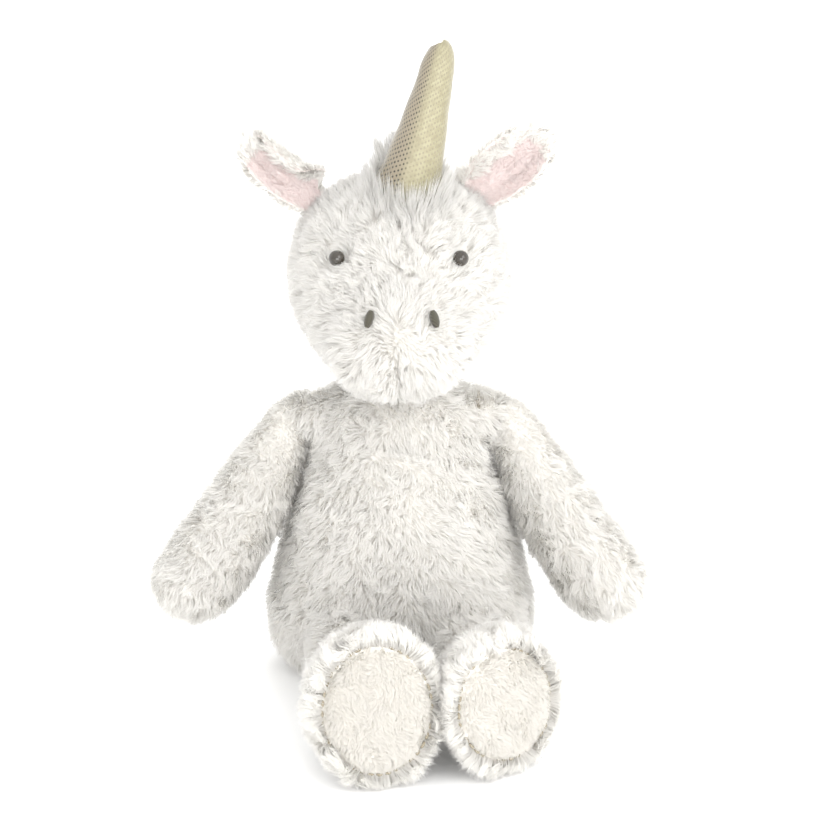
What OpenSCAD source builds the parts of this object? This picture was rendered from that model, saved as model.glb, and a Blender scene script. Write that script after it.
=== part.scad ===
// Seated plush unicorn: stuffed plush body on a bag of pellets, with a stuffed
// head, a fabric horn, lined ears, flipper arms and legs with oval soles.
// Millimetres, +Z up, the face looks along -Y. Left and right are as seen from
// the front. The origin is on the floor below the middle of the body.

/* [Fabric] */
// Thickness of the plush, backing and pile together
plush_t = 6; // [4:0.5:8]
// Thickness of the smooth fabric of the horn
horn_fabric_t = 1.2; // [0.8:0.1:2]
// Thickness of the pellet bag's cloth
bag_t = 0.8; // [0.5:0.1:1.5]
// Gap between pieces that move against each other
play = 0.8; // [0.6:0.1:1.2]
// Thickness of the stitched seam allowance at a joint
seam_t = 1.2; // [0.8:0.1:2]

/* [Body] */
// Height of the shoulders above the floor
shoulder_level = 124; // [105:1:150]
// Width of the bottom at its widest
belly_w = 129; // [100:1:160]
// Depth of the bottom at its deepest
belly_d = 104; // [80:1:130]
// Height of the widest place
belly_level = 27; // [20:1:40]
// Width at the waist, halfway up
waist_w = 95; // [75:1:115]
// Depth at the waist
waist_d = 86; // [70:1:100]
// Width at the shoulders
shoulder_w = 70; // [56:1:84]
// Depth at the shoulders
shoulder_d = 62; // [50:1:74]
// Rounding of the bottom edge
base_round = 14; // [8:1:20]
// Height of the pellet bag
pellet_level = 44; // [30:1:60]
// Radius of the rounded neck that the head sits on
neck_r = 21; // [17:0.5:25]
// Height of the neck's middle above the shoulders
neck_rise = 10; // [6:1:16]

/* [Head] */
// Width of the head
head_w = 101; // [84:1:120]
// Height of the head
head_h = 93; // [78:1:110]
// Depth from the back of the head to the brow
skull_d = 88; // [72:1:104]
// Height of the head's middle above the neck's middle
head_rise = 54; // [50:1:66]
// How far the muzzle stands out from the brow
muzzle_out = 34; // [26:1:42]
// Width of the muzzle
muzzle_w = 69; // [56:1:82]
// Height of the muzzle
muzzle_h = 53; // [44:1:60]
// How far the muzzle's middle lies below the head's middle
muzzle_drop = 21; // [16:1:26]

/* [Face] */
// Distance between the eyes
eye_gap = 54; // [44:1:64]
// Height of the eyes above the head's middle
eye_rise = 16; // [10:1:20]
// Diameter of an eye bead
eye_d = 7; // [5:0.5:9]
// Diameter of the bead's shank
shank_d = 2.6; // [2:0.1:3.5]
// Diameter of the locking washer
washer_d = 12; // [9:0.5:15]
// Distance between the nostrils
nostril_gap = 29; // [22:1:36]
// Height of a stitched nostril
nostril_h = 8; // [5:0.5:10]
// Width of a stitched nostril
nostril_w = 3.6; // [2.5:0.1:5]
// Height of the nostrils above the muzzle's middle
nostril_rise = 15; // [8:1:18]

/* [Horn] */
// Length of the horn
horn_len = 70; // [54:1:84]
// Diameter of the horn at its base
horn_base_d = 29; // [23:0.5:35]
// Diameter of the horn just below its tip
horn_tip_d = 9.5; // [7:0.5:12]
// How far the horn leans to the right
horn_lean = 13; // [0:1:20]
// How far the horn leans back
horn_back = 5; // [0:1:15]
// Place of the horn in front of the head's middle
horn_front = 14; // [8:1:20]
// Place of the horn to the right of the middle
horn_side = 3; // [0:0.5:6]

/* [Ears] */
// Length of an ear from its root
ear_len = 45; // [36:1:54]
// Width of an ear
ear_w = 31; // [25:1:37]
// Thickness of the pink lining
lining_t = 3.5; // [2.5:0.5:5]
// How far an ear cups forwards at its edges
ear_cup = 6; // [3:0.5:8]
// Height of the ear roots above the head's middle
ear_level = 33; // [28:1:36]
// Angle of the ears above level
ear_up = 37; // [20:1:50]

/* [Arms] */
// Length of an arm from the shoulder joint to its tip
arm_len = 110; // [90:1:130]
// Radius of the rounded top of an arm
arm_root_r = 14.5; // [12:0.5:17]
// Width of an arm at the hand
hand_w = 42; // [34:1:50]
// Thickness of an arm at the hand
hand_t = 37; // [30:1:44]
// How far the arms stand away from straight down
arm_out = 34; // [31:1:50]
// How far the arms point forwards
arm_forward = 14; // [0:1:30]

/* [Legs] */
// Length of a leg from the hip joint to its sole
leg_len = 77; // [66:1:92]
// Radius of the rounded hip end of a leg
leg_root_r = 15.5; // [13:0.5:18]
// Distance between the hips
hip_gap = 53; // [48:1:60]
// Width of a foot
foot_w = 57; // [50:1:64]
// Height of a foot
foot_h = 65; // [54:1:76]
// Width of the sole pad
sole_w = 46; // [38:1:50]
// Height of the sole pad
sole_h = 51; // [42:1:58]
// How far the soles lean back at the top
sole_lean = 12; // [5:1:18]
// How far the left leg points to the right
left_leg_turn = 10; // [0:1:13]
// How far the right leg points to the right
right_leg_turn = 14; // [8:1:20]
// How far the left sole turns outwards
left_sole_turn = 2; // [0:1:10]
// How far the right sole turns outwards
right_sole_turn = 18; // [0:1:24]
// How far the left hip sits in front of the right one
hip_twist = 7; // [0:1:10]

/* [Mane and tail] */
// Width of the mane
mane_w = 20; // [14:1:26]
// Height of the mane's tuft above the crown
mane_h = 19; // [12:1:24]
// Length of the tail
tail_len = 52; // [40:1:64]
// Thickness of the tail
tail_t = 19; // [14:1:24]
// Height of the tail's root
tail_level = 47; // [40:1:56]
// How far the tail stands away from straight down
tail_out = 38; // [30:1:60]

/* [Hidden] */

white = "whitesmoke";
pale = "gainsboro";
far = 400;
left = -1;
right = 1;

// Angles above level at which the mane starts and how far it runs round
mane_from = 80;
mane_span = 100;

// Sides of the small round pieces, and the ease round the eyes
round_fn = 48;
ease = 0.2;
// How far a shank reaches behind the plush, and how deep a nostril is let in
shank_len = 8;
nostril_deep = 2;
// Height of the horn's rounded base above its place in the plush
horn_root = 4;

// Joint centres
neck_z = shoulder_level + neck_rise;
head_z = neck_z + head_rise;
joint_r = seam_t + 2 * play;
shoulder_z = shoulder_level - 3;
hip_z = leg_root_r + 3;

// ---- Lofted shapes -------------------------------------------------------

// A row of numbers between rows p1 and p2 on a smooth curve, u from 0 to 1
function between(p0, p1, p2, p3, u) =
    p1 + 0.5 * u * (p2 - p0
        + u * (2 * p0 - 5 * p1 + 4 * p2 - p3 + u * (3 * (p1 - p2) + p3 - p0)));

// The i-th row, or the nearest one at the ends
function row(rows, i) = rows[max(0, min(len(rows) - 1, i))];

// The rows with steps - 1 new ones between each two
function smoothed(rows, steps) = concat(
    [for (i = [0:len(rows) - 2], j = [0:steps - 1])
        between(row(rows, i - 1), rows[i], rows[i + 1], row(rows, i + 2), j / steps)],
    [rows[len(rows) - 1]]);

// An oval of n points about centre c, a along u and b along v
function oval(c, a, b, u, v, n) =
    [for (i = [0:n - 1]) c + a * cos(360 * i / n) * u + b * sin(360 * i / n) * v];

// A closed solid through rings of equally many points. Turned round, the
// rings give a solid that faces inwards, so flip says which way they run.
module loft(rings, flip = false) {
    n = len(rings[0]);
    m = len(rings);
    side = [for (j = [0:m - 2], i = [0:n - 1])
        let (a = j * n + i, b = j * n + (i + 1) % n)
            each [[a, a + n, b + n], [a, b + n, b]]];
    first = [for (i = [0:n - 1]) i];
    last = [for (i = [n - 1:-1:0]) (m - 1) * n + i];
    faces = concat([first], side, [last]);
    polyhedron(
        points = [for (r = rings) each r],
        faces = flip ? [for (f = faces) [for (i = [len(f) - 1:-1:0]) f[i]]] : faces);
}

// A ball with flat faces, with its corners on radius r
module ball(r, n = 20) {
    loft([for (j = [0:n / 2]) let (a = -89 + 178 * j / (n / 2))
        oval([0, 0, r * sin(a)], r * cos(a), r * cos(a), [1, 0, 0], [0, 1, 0], n)]);
}

// A ball to cut with, with the middles of its flat faces on radius r
module ball_hollow(r, n = 20) {
    ball(r / pow(cos(180 / n), 2), n);
}

// The part of its children on one side of a plane across an axis
module keep(low, high) {
    intersection() {
        children();
        translate(low) cube(high - low);
    }
}

// ---- Body ----------------------------------------------------------------

// Height, half width and half depth of the body, inset from its surface
function body_rows(inset) = concat(
    [for (a = [0:30:90]) [
        inset + (base_round - inset) * (1 - cos(a)),
        (belly_w - 6) / 2 - inset - (base_round - inset) * (1 - sin(a)),
        (belly_d - 6) / 2 - inset - (base_round - inset) * (1 - sin(a))]],
    [[belly_level, belly_w / 2 - inset, belly_d / 2 - inset],
     [(belly_level + shoulder_level) / 2 + 6, waist_w / 2 - inset, waist_d / 2 - inset],
     [shoulder_level - 20, (shoulder_w + 4) / 2 - inset, (shoulder_d + 5) / 2 - inset],
     [shoulder_level, shoulder_w / 2 - inset, shoulder_d / 2 - inset],
     [neck_z - 4, shoulder_w / 2 - 5 - inset, shoulder_d / 2 - 4 - inset]],
    [for (a = [15, 40, 65, 85]) [
        neck_z + (neck_r - inset) * sin(a),
        (neck_r - inset) * cos(a),
        (neck_r - inset) * cos(a)]]);

function body_half_w(z) = lookup(z, [for (r = body_rows(0)) [r[0], r[1]]]);
function body_half_d(z) = lookup(z, [for (r = body_rows(0)) [r[0], r[2]]]);

module body_solid(inset) {
    loft([for (r = body_rows(inset))
        oval([0, 0, r[0]], r[1], r[2], [1, 0, 0], [0, 1, 0], 24)]);
}

// Hollows in the body's surface where the arms and legs are sewn on
module joint_hollows() {
    for (side = [left, right]) {
        translate(shoulder(side)) ball_hollow(arm_root_r + joint_r);
        translate(hip(side)) ball_hollow(leg_root_r + joint_r);
    }
    translate(tail_root()) ball_hollow(tail_t / 2 + play);
}

module body_skin() {
    difference() {
        body_solid(0);
        body_solid(plush_t);
        joint_hollows();
    }
}

module body_front_panel() {
    color(white) keep([-far, -far, plush_t], [far, 0, far]) body_skin();
}

module body_back_panel(side) {
    color(white) keep([min(0, side * far), 0, plush_t], [max(0, side * far), far, far]) body_skin();
}

module base_panel() {
    color(pale) keep([-far, -far, 0], [far, far, plush_t]) body_skin();
}

module body_stuffing() {
    color("white") keep([-far, -far, pellet_level], [far, far, far]) body_filling(plush_t);
}

module body_filling(inset) {
    difference() {
        body_solid(inset);
        joint_hollows();
    }
}

module pellet_bag() {
    color("linen") difference() {
        keep([-far, -far, 0], [far, far, pellet_level]) body_filling(plush_t);
        pellets(0);
    }
}

module pellets(gap) {
    keep([-far, -far, 0], [far, far, pellet_level - bag_t - gap]) intersection() {
        body_solid(plush_t + bag_t + gap);
        difference() {
            body_solid(plush_t);
            for (side = [left, right])
                translate(hip(side)) ball_hollow(leg_root_r + joint_r + bag_t + gap);
            translate(tail_root()) ball_hollow(tail_t / 2 + play + bag_t + gap);
        }
    }
}

module pellet_fill() {
    color("ivory") pellets(0);
}

// A band of stitched seam allowance round the neck, between body and head
module neck_seam() {
    color(pale) translate([0, 0, neck_z]) keep([-far, -far, neck_r * 0.3], [far, far, neck_r * 0.8])
        difference() {
            ball(neck_r + play + seam_t);
            ball_hollow(neck_r + play);
        }
}

// ---- Head ----------------------------------------------------------------

brow_y = -skull_d / 2 + 2;

// Distance to the back, half width, half height and height of the middle
function head_rows(inset) =
    let (w = head_w / 2, h = head_h / 2, mw = muzzle_w / 2, mh = muzzle_h / 2,
        mz = head_z - muzzle_drop,
        back = skull_d / 2, tip = brow_y - muzzle_out,
        rows = [
            [back, w * 0.14, h * 0.14, head_z],
            [back - 3, w * 0.5, h * 0.5, head_z],
            [back - 13, w * 0.8, h * 0.8, head_z + 0.5],
            [back - 32, w * 0.98, h * 0.98, head_z + 1],
            [-8, w, h, head_z],
            [-26, w * 0.93, h * 0.92, head_z - 4],
            [brow_y, mw + 5, mh + 9, mz + 11],
            [brow_y - muzzle_out * 0.38, mw, mh + 1, mz + 1],
            [brow_y - muzzle_out * 0.68, mw * 0.9, mh * 0.88, mz],
            [brow_y - muzzle_out * 0.92, mw * 0.58, mh * 0.6, mz],
            [tip, mw * 0.16, mh * 0.16, mz]],
        middle = (back + tip) / 2,
        shrink = (back - tip - 2 * inset) / (back - tip))
    [for (r = smoothed(rows, 2))
        [middle + (r[0] - middle) * shrink, max(r[1] - inset, 1), max(r[2] - inset, 1), r[3]]];

// The head's half width, half height and middle at a distance y
function head_half_w(y) = lookup(y, [for (r = head_rows(0)) [r[0], r[1]]]);
function head_half_h(y) = lookup(y, [for (r = head_rows(0)) [r[0], r[2]]]);
function head_middle(y) = lookup(y, [for (r = head_rows(0)) [r[0], r[3]]]);

// Below 1 inside the head and over 1 outside
function head_depth(p) =
    pow(p.x / head_half_w(p.y), 2) + pow((p.z - head_middle(p.y)) / head_half_h(p.y), 2);

// The front surface's y at x and z, by halving the span from inside to outside
function head_front(x, z, inside = -20, outside = brow_y - muzzle_out, turns = 16) =
    let (y = (inside + outside) / 2)
    turns == 0 ? y
        : head_depth([x, y, z]) < 1 ? head_front(x, z, y, outside, turns - 1)
        : head_front(x, z, inside, y, turns - 1);

// The height of the head's top at x and y
function head_top(x, y) =
    head_middle(y) + head_half_h(y) * sqrt(1 - pow(x / head_half_w(y), 2));

// The direction straight out of the head's surface at p
function head_out(p) =
    let (d = 0.5,
        g = [for (e = [[d, 0, 0], [0, d, 0], [0, 0, d]]) head_depth(p + e) - head_depth(p - e)])
    g / norm(g);

// Turns +Z to direction n
module facing(n) {
    rotate([0, acos(n.z), atan2(n.y, n.x)]) children();
}

module head_solid(inset) {
    loft([for (r = head_rows(inset))
        oval([0, r[0], r[3]], r[1], r[2], [1, 0, 0], [0, 0, 1], 24)]);
}

muzzle_seam_y = brow_y - 6;
eye_z = head_z + eye_rise;
nostril_z = head_z - muzzle_drop + nostril_rise;
eye_pos = [eye_gap / 2, head_front(eye_gap / 2, eye_z), eye_z];
nostril_pos = [nostril_gap / 2, head_front(nostril_gap / 2, nostril_z), nostril_z];
horn_pos = [horn_side, -horn_front, head_top(horn_side, -horn_front) - 5];
ear_pos = [head_half_w(2) * sqrt(1 - pow(ear_level / head_half_h(2), 2)), 2, head_z + ear_level];

module at_eye(side) {
    n = head_out(eye_pos);
    mirror([side == left ? 1 : 0, 0, 0]) translate(eye_pos) facing(n) children();
}

module at_nostril(side) {
    n = head_out(nostril_pos);
    mirror([side == left ? 1 : 0, 0, 0]) translate(nostril_pos) facing(n) children();
}

module at_horn() {
    translate(horn_pos) rotate([-horn_back, horn_lean, 0]) children();
}

// Ear frame: the root's middle at the origin, +Z along the ear, -Y in front
module at_ear(side) {
    mirror([side == left ? 1 : 0, 0, 0]) translate(ear_pos)
        rotate([0, 90 - ear_up, 0]) rotate([0, 0, -12]) children();
}

// Everything that is let into the head
module head_hollows() {
    translate([0, 0, neck_z]) ball_hollow(neck_r + joint_r);
    at_horn() translate([0, 0, horn_root]) {
        ball_hollow(horn_base_d / 2 + play);
        cylinder(h = plush_t * 2, d1 = horn_base_d + 2 * play, d2 = horn_base_d + 2 * plush_t);
    }
    for (side = [left, right]) {
        at_eye(side) {
            translate([0, 0, -plush_t + 1])
                cylinder(h = 2 * plush_t, d = eye_d + ease, $fn = round_fn);
            translate([0, 0, -2 * plush_t - shank_len])
                cylinder(h = 3 * plush_t + shank_len, d = shank_d + ease, $fn = round_fn);
        }
        at_nostril(side) translate([0, 0, -nostril_deep]) nostril_shape();
        at_ear(side) rotate([0, 90, 0])
            cylinder(h = ear_w + 2 * play, r = ear_root_r + play, center = true, $fn = round_fn);
    }
}

module head_skin() {
    difference() {
        head_solid(0);
        head_solid(plush_t);
        head_hollows();
    }
}

module head_panel(side) {
    color(white) keep([min(0, side * far), muzzle_seam_y, 0], [max(0, side * far), far, far]) head_skin();
}

module muzzle_panel() {
    color(white) keep([-far, -far, 0], [far, muzzle_seam_y, far]) head_skin();
}

module head_stuffing() {
    color("white") difference() {
        head_solid(plush_t);
        head_hollows();
        for (side = [left, right])
            at_eye(side) translate([0, 0, -plush_t - 4])
                cylinder(h = plush_t + 2, d = washer_d, $fn = round_fn);
    }
}

// ---- Face ----------------------------------------------------------------

// A bead on a shank that passes through the plush
module eye(side) {
    color("#2b211c") at_eye(side) {
        rotate_extrude($fn = round_fn)
            intersection() {
                translate([0, -0.5]) circle(d = eye_d);
                translate([0, -2]) square([eye_d, eye_d]);
            }
        translate([0, 0, -plush_t - shank_len])
            cylinder(h = plush_t + shank_len - 1, d = shank_d, $fn = round_fn);
    }
}

// The washer that locks the shank inside the plush
module eye_washer(side) {
    color("silver") at_eye(side) translate([0, 0, -plush_t - 3.5]) difference() {
        cylinder(h = 1.5, d = washer_d - 1, $fn = round_fn);
        translate([0, 0, -1]) cylinder(h = 4, d = shank_d, $fn = round_fn);
    }
}

// A stitched oval, 2.4 mm thick, standing on its base
module nostril_shape() {
    loft([for (r = [[0, 0.9], [1.2, 1], [1.9, 0.85], [2.4, 0.5]])
        oval([0, 0, r[0]], r[1] * nostril_h / 2, r[1] * nostril_w / 2, [1, 0, 0], [0, 1, 0], 16)]);
}

module nostril(side) {
    color("#3a3226") at_nostril(side) translate([0, 0, -nostril_deep]) nostril_shape();
}

// ---- Horn ----------------------------------------------------------------

// The horn's outline from its rounded base to its rounded tip
function horn_outline(inset) =
    let (r0 = horn_base_d / 2 - inset, r1 = horn_tip_d / 2 - inset,
        neck = horn_len - horn_tip_d / 2)
    concat(
        [for (a = [-90:15:0]) [r0 * cos(a), horn_root + r0 * sin(a)]],
        [for (t = [0.25:0.25:1])
            [r0 + (r1 - r0) * pow(t, 0.85), horn_root + (neck - horn_root) * t]],
        [for (a = [30:30:90]) [r1 * cos(a), neck + r1 * sin(a)]]);

module horn_solid(inset) {
    rotate_extrude($fn = round_fn) polygon(horn_outline(inset));
}

module horn_cover() {
    color("#d9d3a9") at_horn() difference() {
        horn_solid(0);
        horn_solid(horn_fabric_t);
    }
}

module horn_stuffing() {
    color("white") at_horn() horn_solid(horn_fabric_t);
}

// ---- Ears ----------------------------------------------------------------

ear_root_r = (plush_t + lining_t) / 2;

// Distance along the ear and half width there
ear_rows = smoothed([
    [0, ear_w * 0.40], [ear_len * 0.3, ear_w * 0.49], [ear_len * 0.62, ear_w * 0.48],
    [ear_len * 0.86, ear_w * 0.37], [ear_len * 0.97, ear_w * 0.22], [ear_len, ear_w * 0.12]], 2);

// A ring of one layer of the ear, from its seam side to its open side, cupped
// forwards at its edges
function ear_ring(z, half, seam, open) =
    let (m = 6, cup = ear_cup * min(1, z / (0.4 * ear_len)),
        xs = [for (i = [0:m]) -1 + 2 * i / m],
        thin = function (x, t) t * (0.35 + 0.65 * sqrt(1 - 0.96 * x * x)))
    concat(
        [for (x = xs) [half * x, -cup * x * x + thin(x, seam), z]],
        [for (i = [m:-1:0]) let (x = xs[i]) [half * x, -cup * x * x + thin(x, open), z]]);

// One layer of the ear. Its seam side is the same surface in both layers.
module ear_layer(open) {
    loft([for (r = ear_rows) ear_ring(r[0], r[1], lining_t - ear_root_r, open)], open < 0);
}

// The plush back of the ear, with the rounded root that it turns on
module ear_back(side) {
    color(white) at_ear(side) {
        ear_layer(ear_root_r);
        difference() {
            rotate([0, 90, 0])
                cylinder(h = ear_w * 0.8, r = ear_root_r, center = true, $fn = round_fn);
            translate([-far, -far, 0]) cube([2 * far, 2 * far, far]);
        }
    }
}

module ear_lining(side) {
    color("#f0d2d2") at_ear(side) ear_layer(-ear_root_r);
}

// ---- Mane ----------------------------------------------------------------

// A tuft of long pile from behind the horn down the back of the head. Its
// rings stand across an arc about the head's middle.
module mane() {
    steps = 8;
    color(white) difference() {
        loft([for (i = [0:steps])
            let (t = i / steps,
                out = [0, cos(mane_from - mane_span * t), sin(mane_from - mane_span * t)],
                end = i == 0 || i == steps ? 0.5 : 1,
                tall = (mane_h + plush_t) * (1 - 0.5 * t) / 2 * end,
                middle = [0, 0, head_z] + (head_h / 2 - plush_t + tall) * out)
            oval(middle, mane_w / 2 * end, tall, [1, 0, 0], out, 12)], true);
        head_solid(0);
        at_horn() cylinder(h = horn_len, r = horn_base_d / 2 + play);
    }
}

// ---- Arms ----------------------------------------------------------------

function shoulder(side) =
    [side * (body_half_w(shoulder_z) + arm_root_r + seam_t - 2), 1, shoulder_z];

// Distance down the arm, half width and half thickness
function arm_rows(inset) =
    let (r = arm_root_r - inset, w = hand_w / 2 - inset, t = hand_t / 2 - inset, end = arm_len - inset)
    concat(
        [for (a = [-85, -60, -30, 0]) [r * sin(a), r * cos(a), r * cos(a)]],
        smoothed([
            [arm_len * 0.27, r + 1.2, r + 0.8],
            [arm_len * 0.52, (r + w) / 2 + 1, (r + t) / 2 + 1],
            [arm_len * 0.72, w, t],
            [arm_len * 0.86, w * 0.93, t * 0.93],
            [end - arm_len * 0.04, w * 0.62, t * 0.62],
            [end, w * 0.2, t * 0.2]], 2));

module arm_solid(inset) {
    loft([for (r = arm_rows(inset))
        oval([0, 0, -r[0]], r[1], r[2], [1, 0, 0], [0, 1, 0], 16)], true);
}

module at_arm(side) {
    translate(shoulder(side)) rotate([0, -side * arm_out, 0]) rotate([-arm_forward, 0, 0]) children();
}

module arm_panel(side, front) {
    color(white) at_arm(side) keep([-far, front ? -far : 0, -far], [far, front ? 0 : far, far]) difference() {
        arm_solid(0);
        arm_solid(plush_t);
    }
}

module arm_stuffing(side) {
    color("white") at_arm(side) arm_solid(plush_t);
}

// The stitched patch between a limb's rounded end and the body
module joint_patch(r, size) {
    difference() {
        ball(r + play + seam_t);
        ball_hollow(r + play);
        translate([-far, -far, -far]) cube([2 * far, 2 * far, far + r * size]);
    }
}

module arm_seam(side) {
    color(pale) translate(shoulder(side)) rotate([0, -side * 90, 0]) joint_patch(arm_root_r, 0.85);
}

// ---- Legs ----------------------------------------------------------------

function hip(side) =
    let (x = hip_gap / 2, w = body_half_w(hip_z),
        d = body_half_d(hip_z) * sqrt(1 - pow(x / w, 2)))
    [side * x, -(d + leg_root_r + seam_t - 6) + side * hip_twist / 2, hip_z];

function leg_turn(side) = side == left ? left_leg_turn : right_leg_turn;
function sole_turn(side) = side == left ? -left_sole_turn : right_sole_turn;

foot_z = foot_h / 2;

// Distance along the leg, half width, half height, height of the middle, and
// the share of the sole's lean and turn that the leg has taken there
function leg_rows(inset, past = 0) =
    let (r = leg_root_r - inset, w = foot_w / 2 - inset, h = foot_h / 2 - inset,
        rise = foot_z - hip_z)
    concat(
        [for (a = [-85, -60, -30, 0]) [r * sin(a), r * cos(a), r * cos(a), 0, 0]],
        smoothed([
            [leg_len * 0.30, r + 2, r + 2, rise * 0.15, 0.1],
            [leg_len * 0.55, (r + w) / 2 + 1, (r + h) / 2 + 1, rise * 0.5, 0.45],
            [leg_len * 0.78, w * 0.98, h * 0.96, rise * 0.95, 0.85],
            [leg_len * 0.93 + past, w, h, rise, 1]], 2));

// The plane of a ring: its sideways and upward directions
function ring_u(share, turn) = [cos(turn * share), sin(turn * share), 0];
function ring_v(share, turn) =
    let (lean = sole_lean * share)
    [-sin(turn * share) * sin(lean), cos(turn * share) * sin(lean), cos(lean)];

function leg_ring(r, side, n) =
    oval([0, -r[0], r[3]], r[1], r[2], ring_u(r[4], sole_turn(side)), ring_v(r[4], sole_turn(side)), n);

module leg_solid(side, inset, past = 0) {
    loft([for (r = leg_rows(inset, past)) leg_ring(r, side, 20)]);
}

// The frame of the leg: the hip joint at the origin, -Y along the leg
module at_leg(side) {
    translate(hip(side)) rotate([0, 0, leg_turn(side)]) children();
}

// The frame of the sole: +Z straight out of it, +Y up
module at_sole(side) {
    at_leg(side) translate([0, -leg_len * 0.93, foot_z - hip_z])
        rotate([0, 0, sole_turn(side)]) rotate([90 - sole_lean, 0, 0]) children();
}

module leg_panel(side, top) {
    color(white) at_leg(side) keep([-far, -far, top ? 0 : -far], [far, far, top ? far : 0]) difference() {
        leg_solid(side, 0);
        leg_solid(side, plush_t, 1);
    }
}

module leg_stuffing(side) {
    color("white") at_leg(side) intersection() {
        leg_solid(side, 0);
        leg_solid(side, plush_t, 1);
    }
}

// The oval pad that closes the foot
module sole(side) {
    color(pale) at_sole(side) loft([for (r = [[0, 1], [2.5, 1.0], [5, 0.94], [7, 0.78], [8, 0.5]])
        oval([0, 0, r[0]], r[1] * sole_w / 2, r[1] * sole_h / 2, [1, 0, 0], [0, 1, 0], 24)]);
}

// The turned seam that stands up round the sole
module welt(side) {
    color(white) at_sole(side) difference() {
        loft([for (r = [[0, 1], [3.5, 1.0], [6, 0.95]])
            oval([0, 0, r[0]], r[1] * foot_w / 2, r[1] * foot_h / 2, [1, 0, 0], [0, 1, 0], 24)]);
        loft([for (r = [[-1, 0.99], [0, 1], [4, 1.01], [7, 1.1]])
            oval([0, 0, r[0]], r[1] * sole_w / 2, r[1] * sole_h / 2, [1, 0, 0], [0, 1, 0], 24)]);
    }
}

module leg_seam(side) {
    color(pale) translate(hip(side)) rotate([-90, 0, 0]) joint_patch(leg_root_r, 0.8);
}

// ---- Tail and label ------------------------------------------------------

function tail_root() = [0, body_half_d(tail_level) + tail_t / 2 - 2, tail_level];

// A tuft of long pile that hangs from a rounded root. Its rows hold the
// distance from the root, half width and half thickness.
module tail() {
    r = tail_t / 2;
    rows = concat(
        [for (a = [-85, -55, -25, 0]) [r * sin(a), r * cos(a), r * cos(a)]],
        smoothed([
            [tail_len * 0.3, r * 1.15, r], [tail_len * 0.6, r * 1.2, r * 0.95],
            [tail_len * 0.85, r * 0.85, r * 0.7], [tail_len, r * 0.25, r * 0.2]], 2));
    color(white) translate(tail_root()) rotate([tail_out, 0, 0])
        loft([for (p = rows) oval([0, 0, -p[0]], p[1], p[2], [1, 0, 0], [0, 1, 0], 12)], true);
}

// A blank folded label, held in the seam round the base at the back
module care_label() {
    size = [14, 24, 0.8];
    color("white") difference() {
        rotate([0, 0, 35]) translate([-size.x / 2, body_half_d(plush_t) - 7, plush_t]) cube(size);
        body_solid(0);
    }
}

// ---- Nodes ---------------------------------------------------------------

body_front_panel();
body_back_panel(left);  // body_back_left_panel
body_back_panel(right);  // body_back_right_panel
base_panel();
body_stuffing();
pellet_bag();
pellet_fill();
neck_seam();
head_panel(left);  // head_left_panel
head_panel(right);  // head_right_panel
muzzle_panel();
head_stuffing();
eye(left);  // eye_left
eye(right);  // eye_right
eye_washer(left);  // eye_washer_left
eye_washer(right);  // eye_washer_right
nostril(left);  // nostril_left
nostril(right);  // nostril_right
horn_cover();
horn_stuffing();
mane();
ear_back(left);  // ear_left_back
ear_lining(left);  // ear_left_lining
ear_back(right);  // ear_right_back
ear_lining(right);  // ear_right_lining
arm_seam(left);  // arm_left_seam
arm_panel(left, true);  // arm_left_front_panel
arm_panel(left, false);  // arm_left_back_panel
arm_stuffing(left);  // arm_left_stuffing
arm_seam(right);  // arm_right_seam
arm_panel(right, true);  // arm_right_front_panel
arm_panel(right, false);  // arm_right_back_panel
arm_stuffing(right);  // arm_right_stuffing
leg_seam(left);  // leg_left_seam
leg_panel(left, true);  // leg_left_top_panel
leg_panel(left, false);  // leg_left_bottom_panel
welt(left);  // leg_left_welt
sole(left);  // leg_left_sole
leg_stuffing(left);  // leg_left_stuffing
leg_seam(right);  // leg_right_seam
leg_panel(right, true);  // leg_right_top_panel
leg_panel(right, false);  // leg_right_bottom_panel
welt(right);  // leg_right_welt
sole(right);  // leg_right_sole
leg_stuffing(right);  // leg_right_stuffing
tail();
care_label();
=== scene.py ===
"""Looks of a seated plush unicorn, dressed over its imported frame.

Every piece is in metres in the frame of the part: +Z up, the face towards -Y.
Sizes in the classes are in millimetres, as a toy maker would write them.
"""

import logging
import math
from dataclasses import dataclass, field
from enum import Enum
from typing import Callable, Sequence

import bmesh
import bpy
import numpy as np
from mathutils import Matrix, Vector


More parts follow.
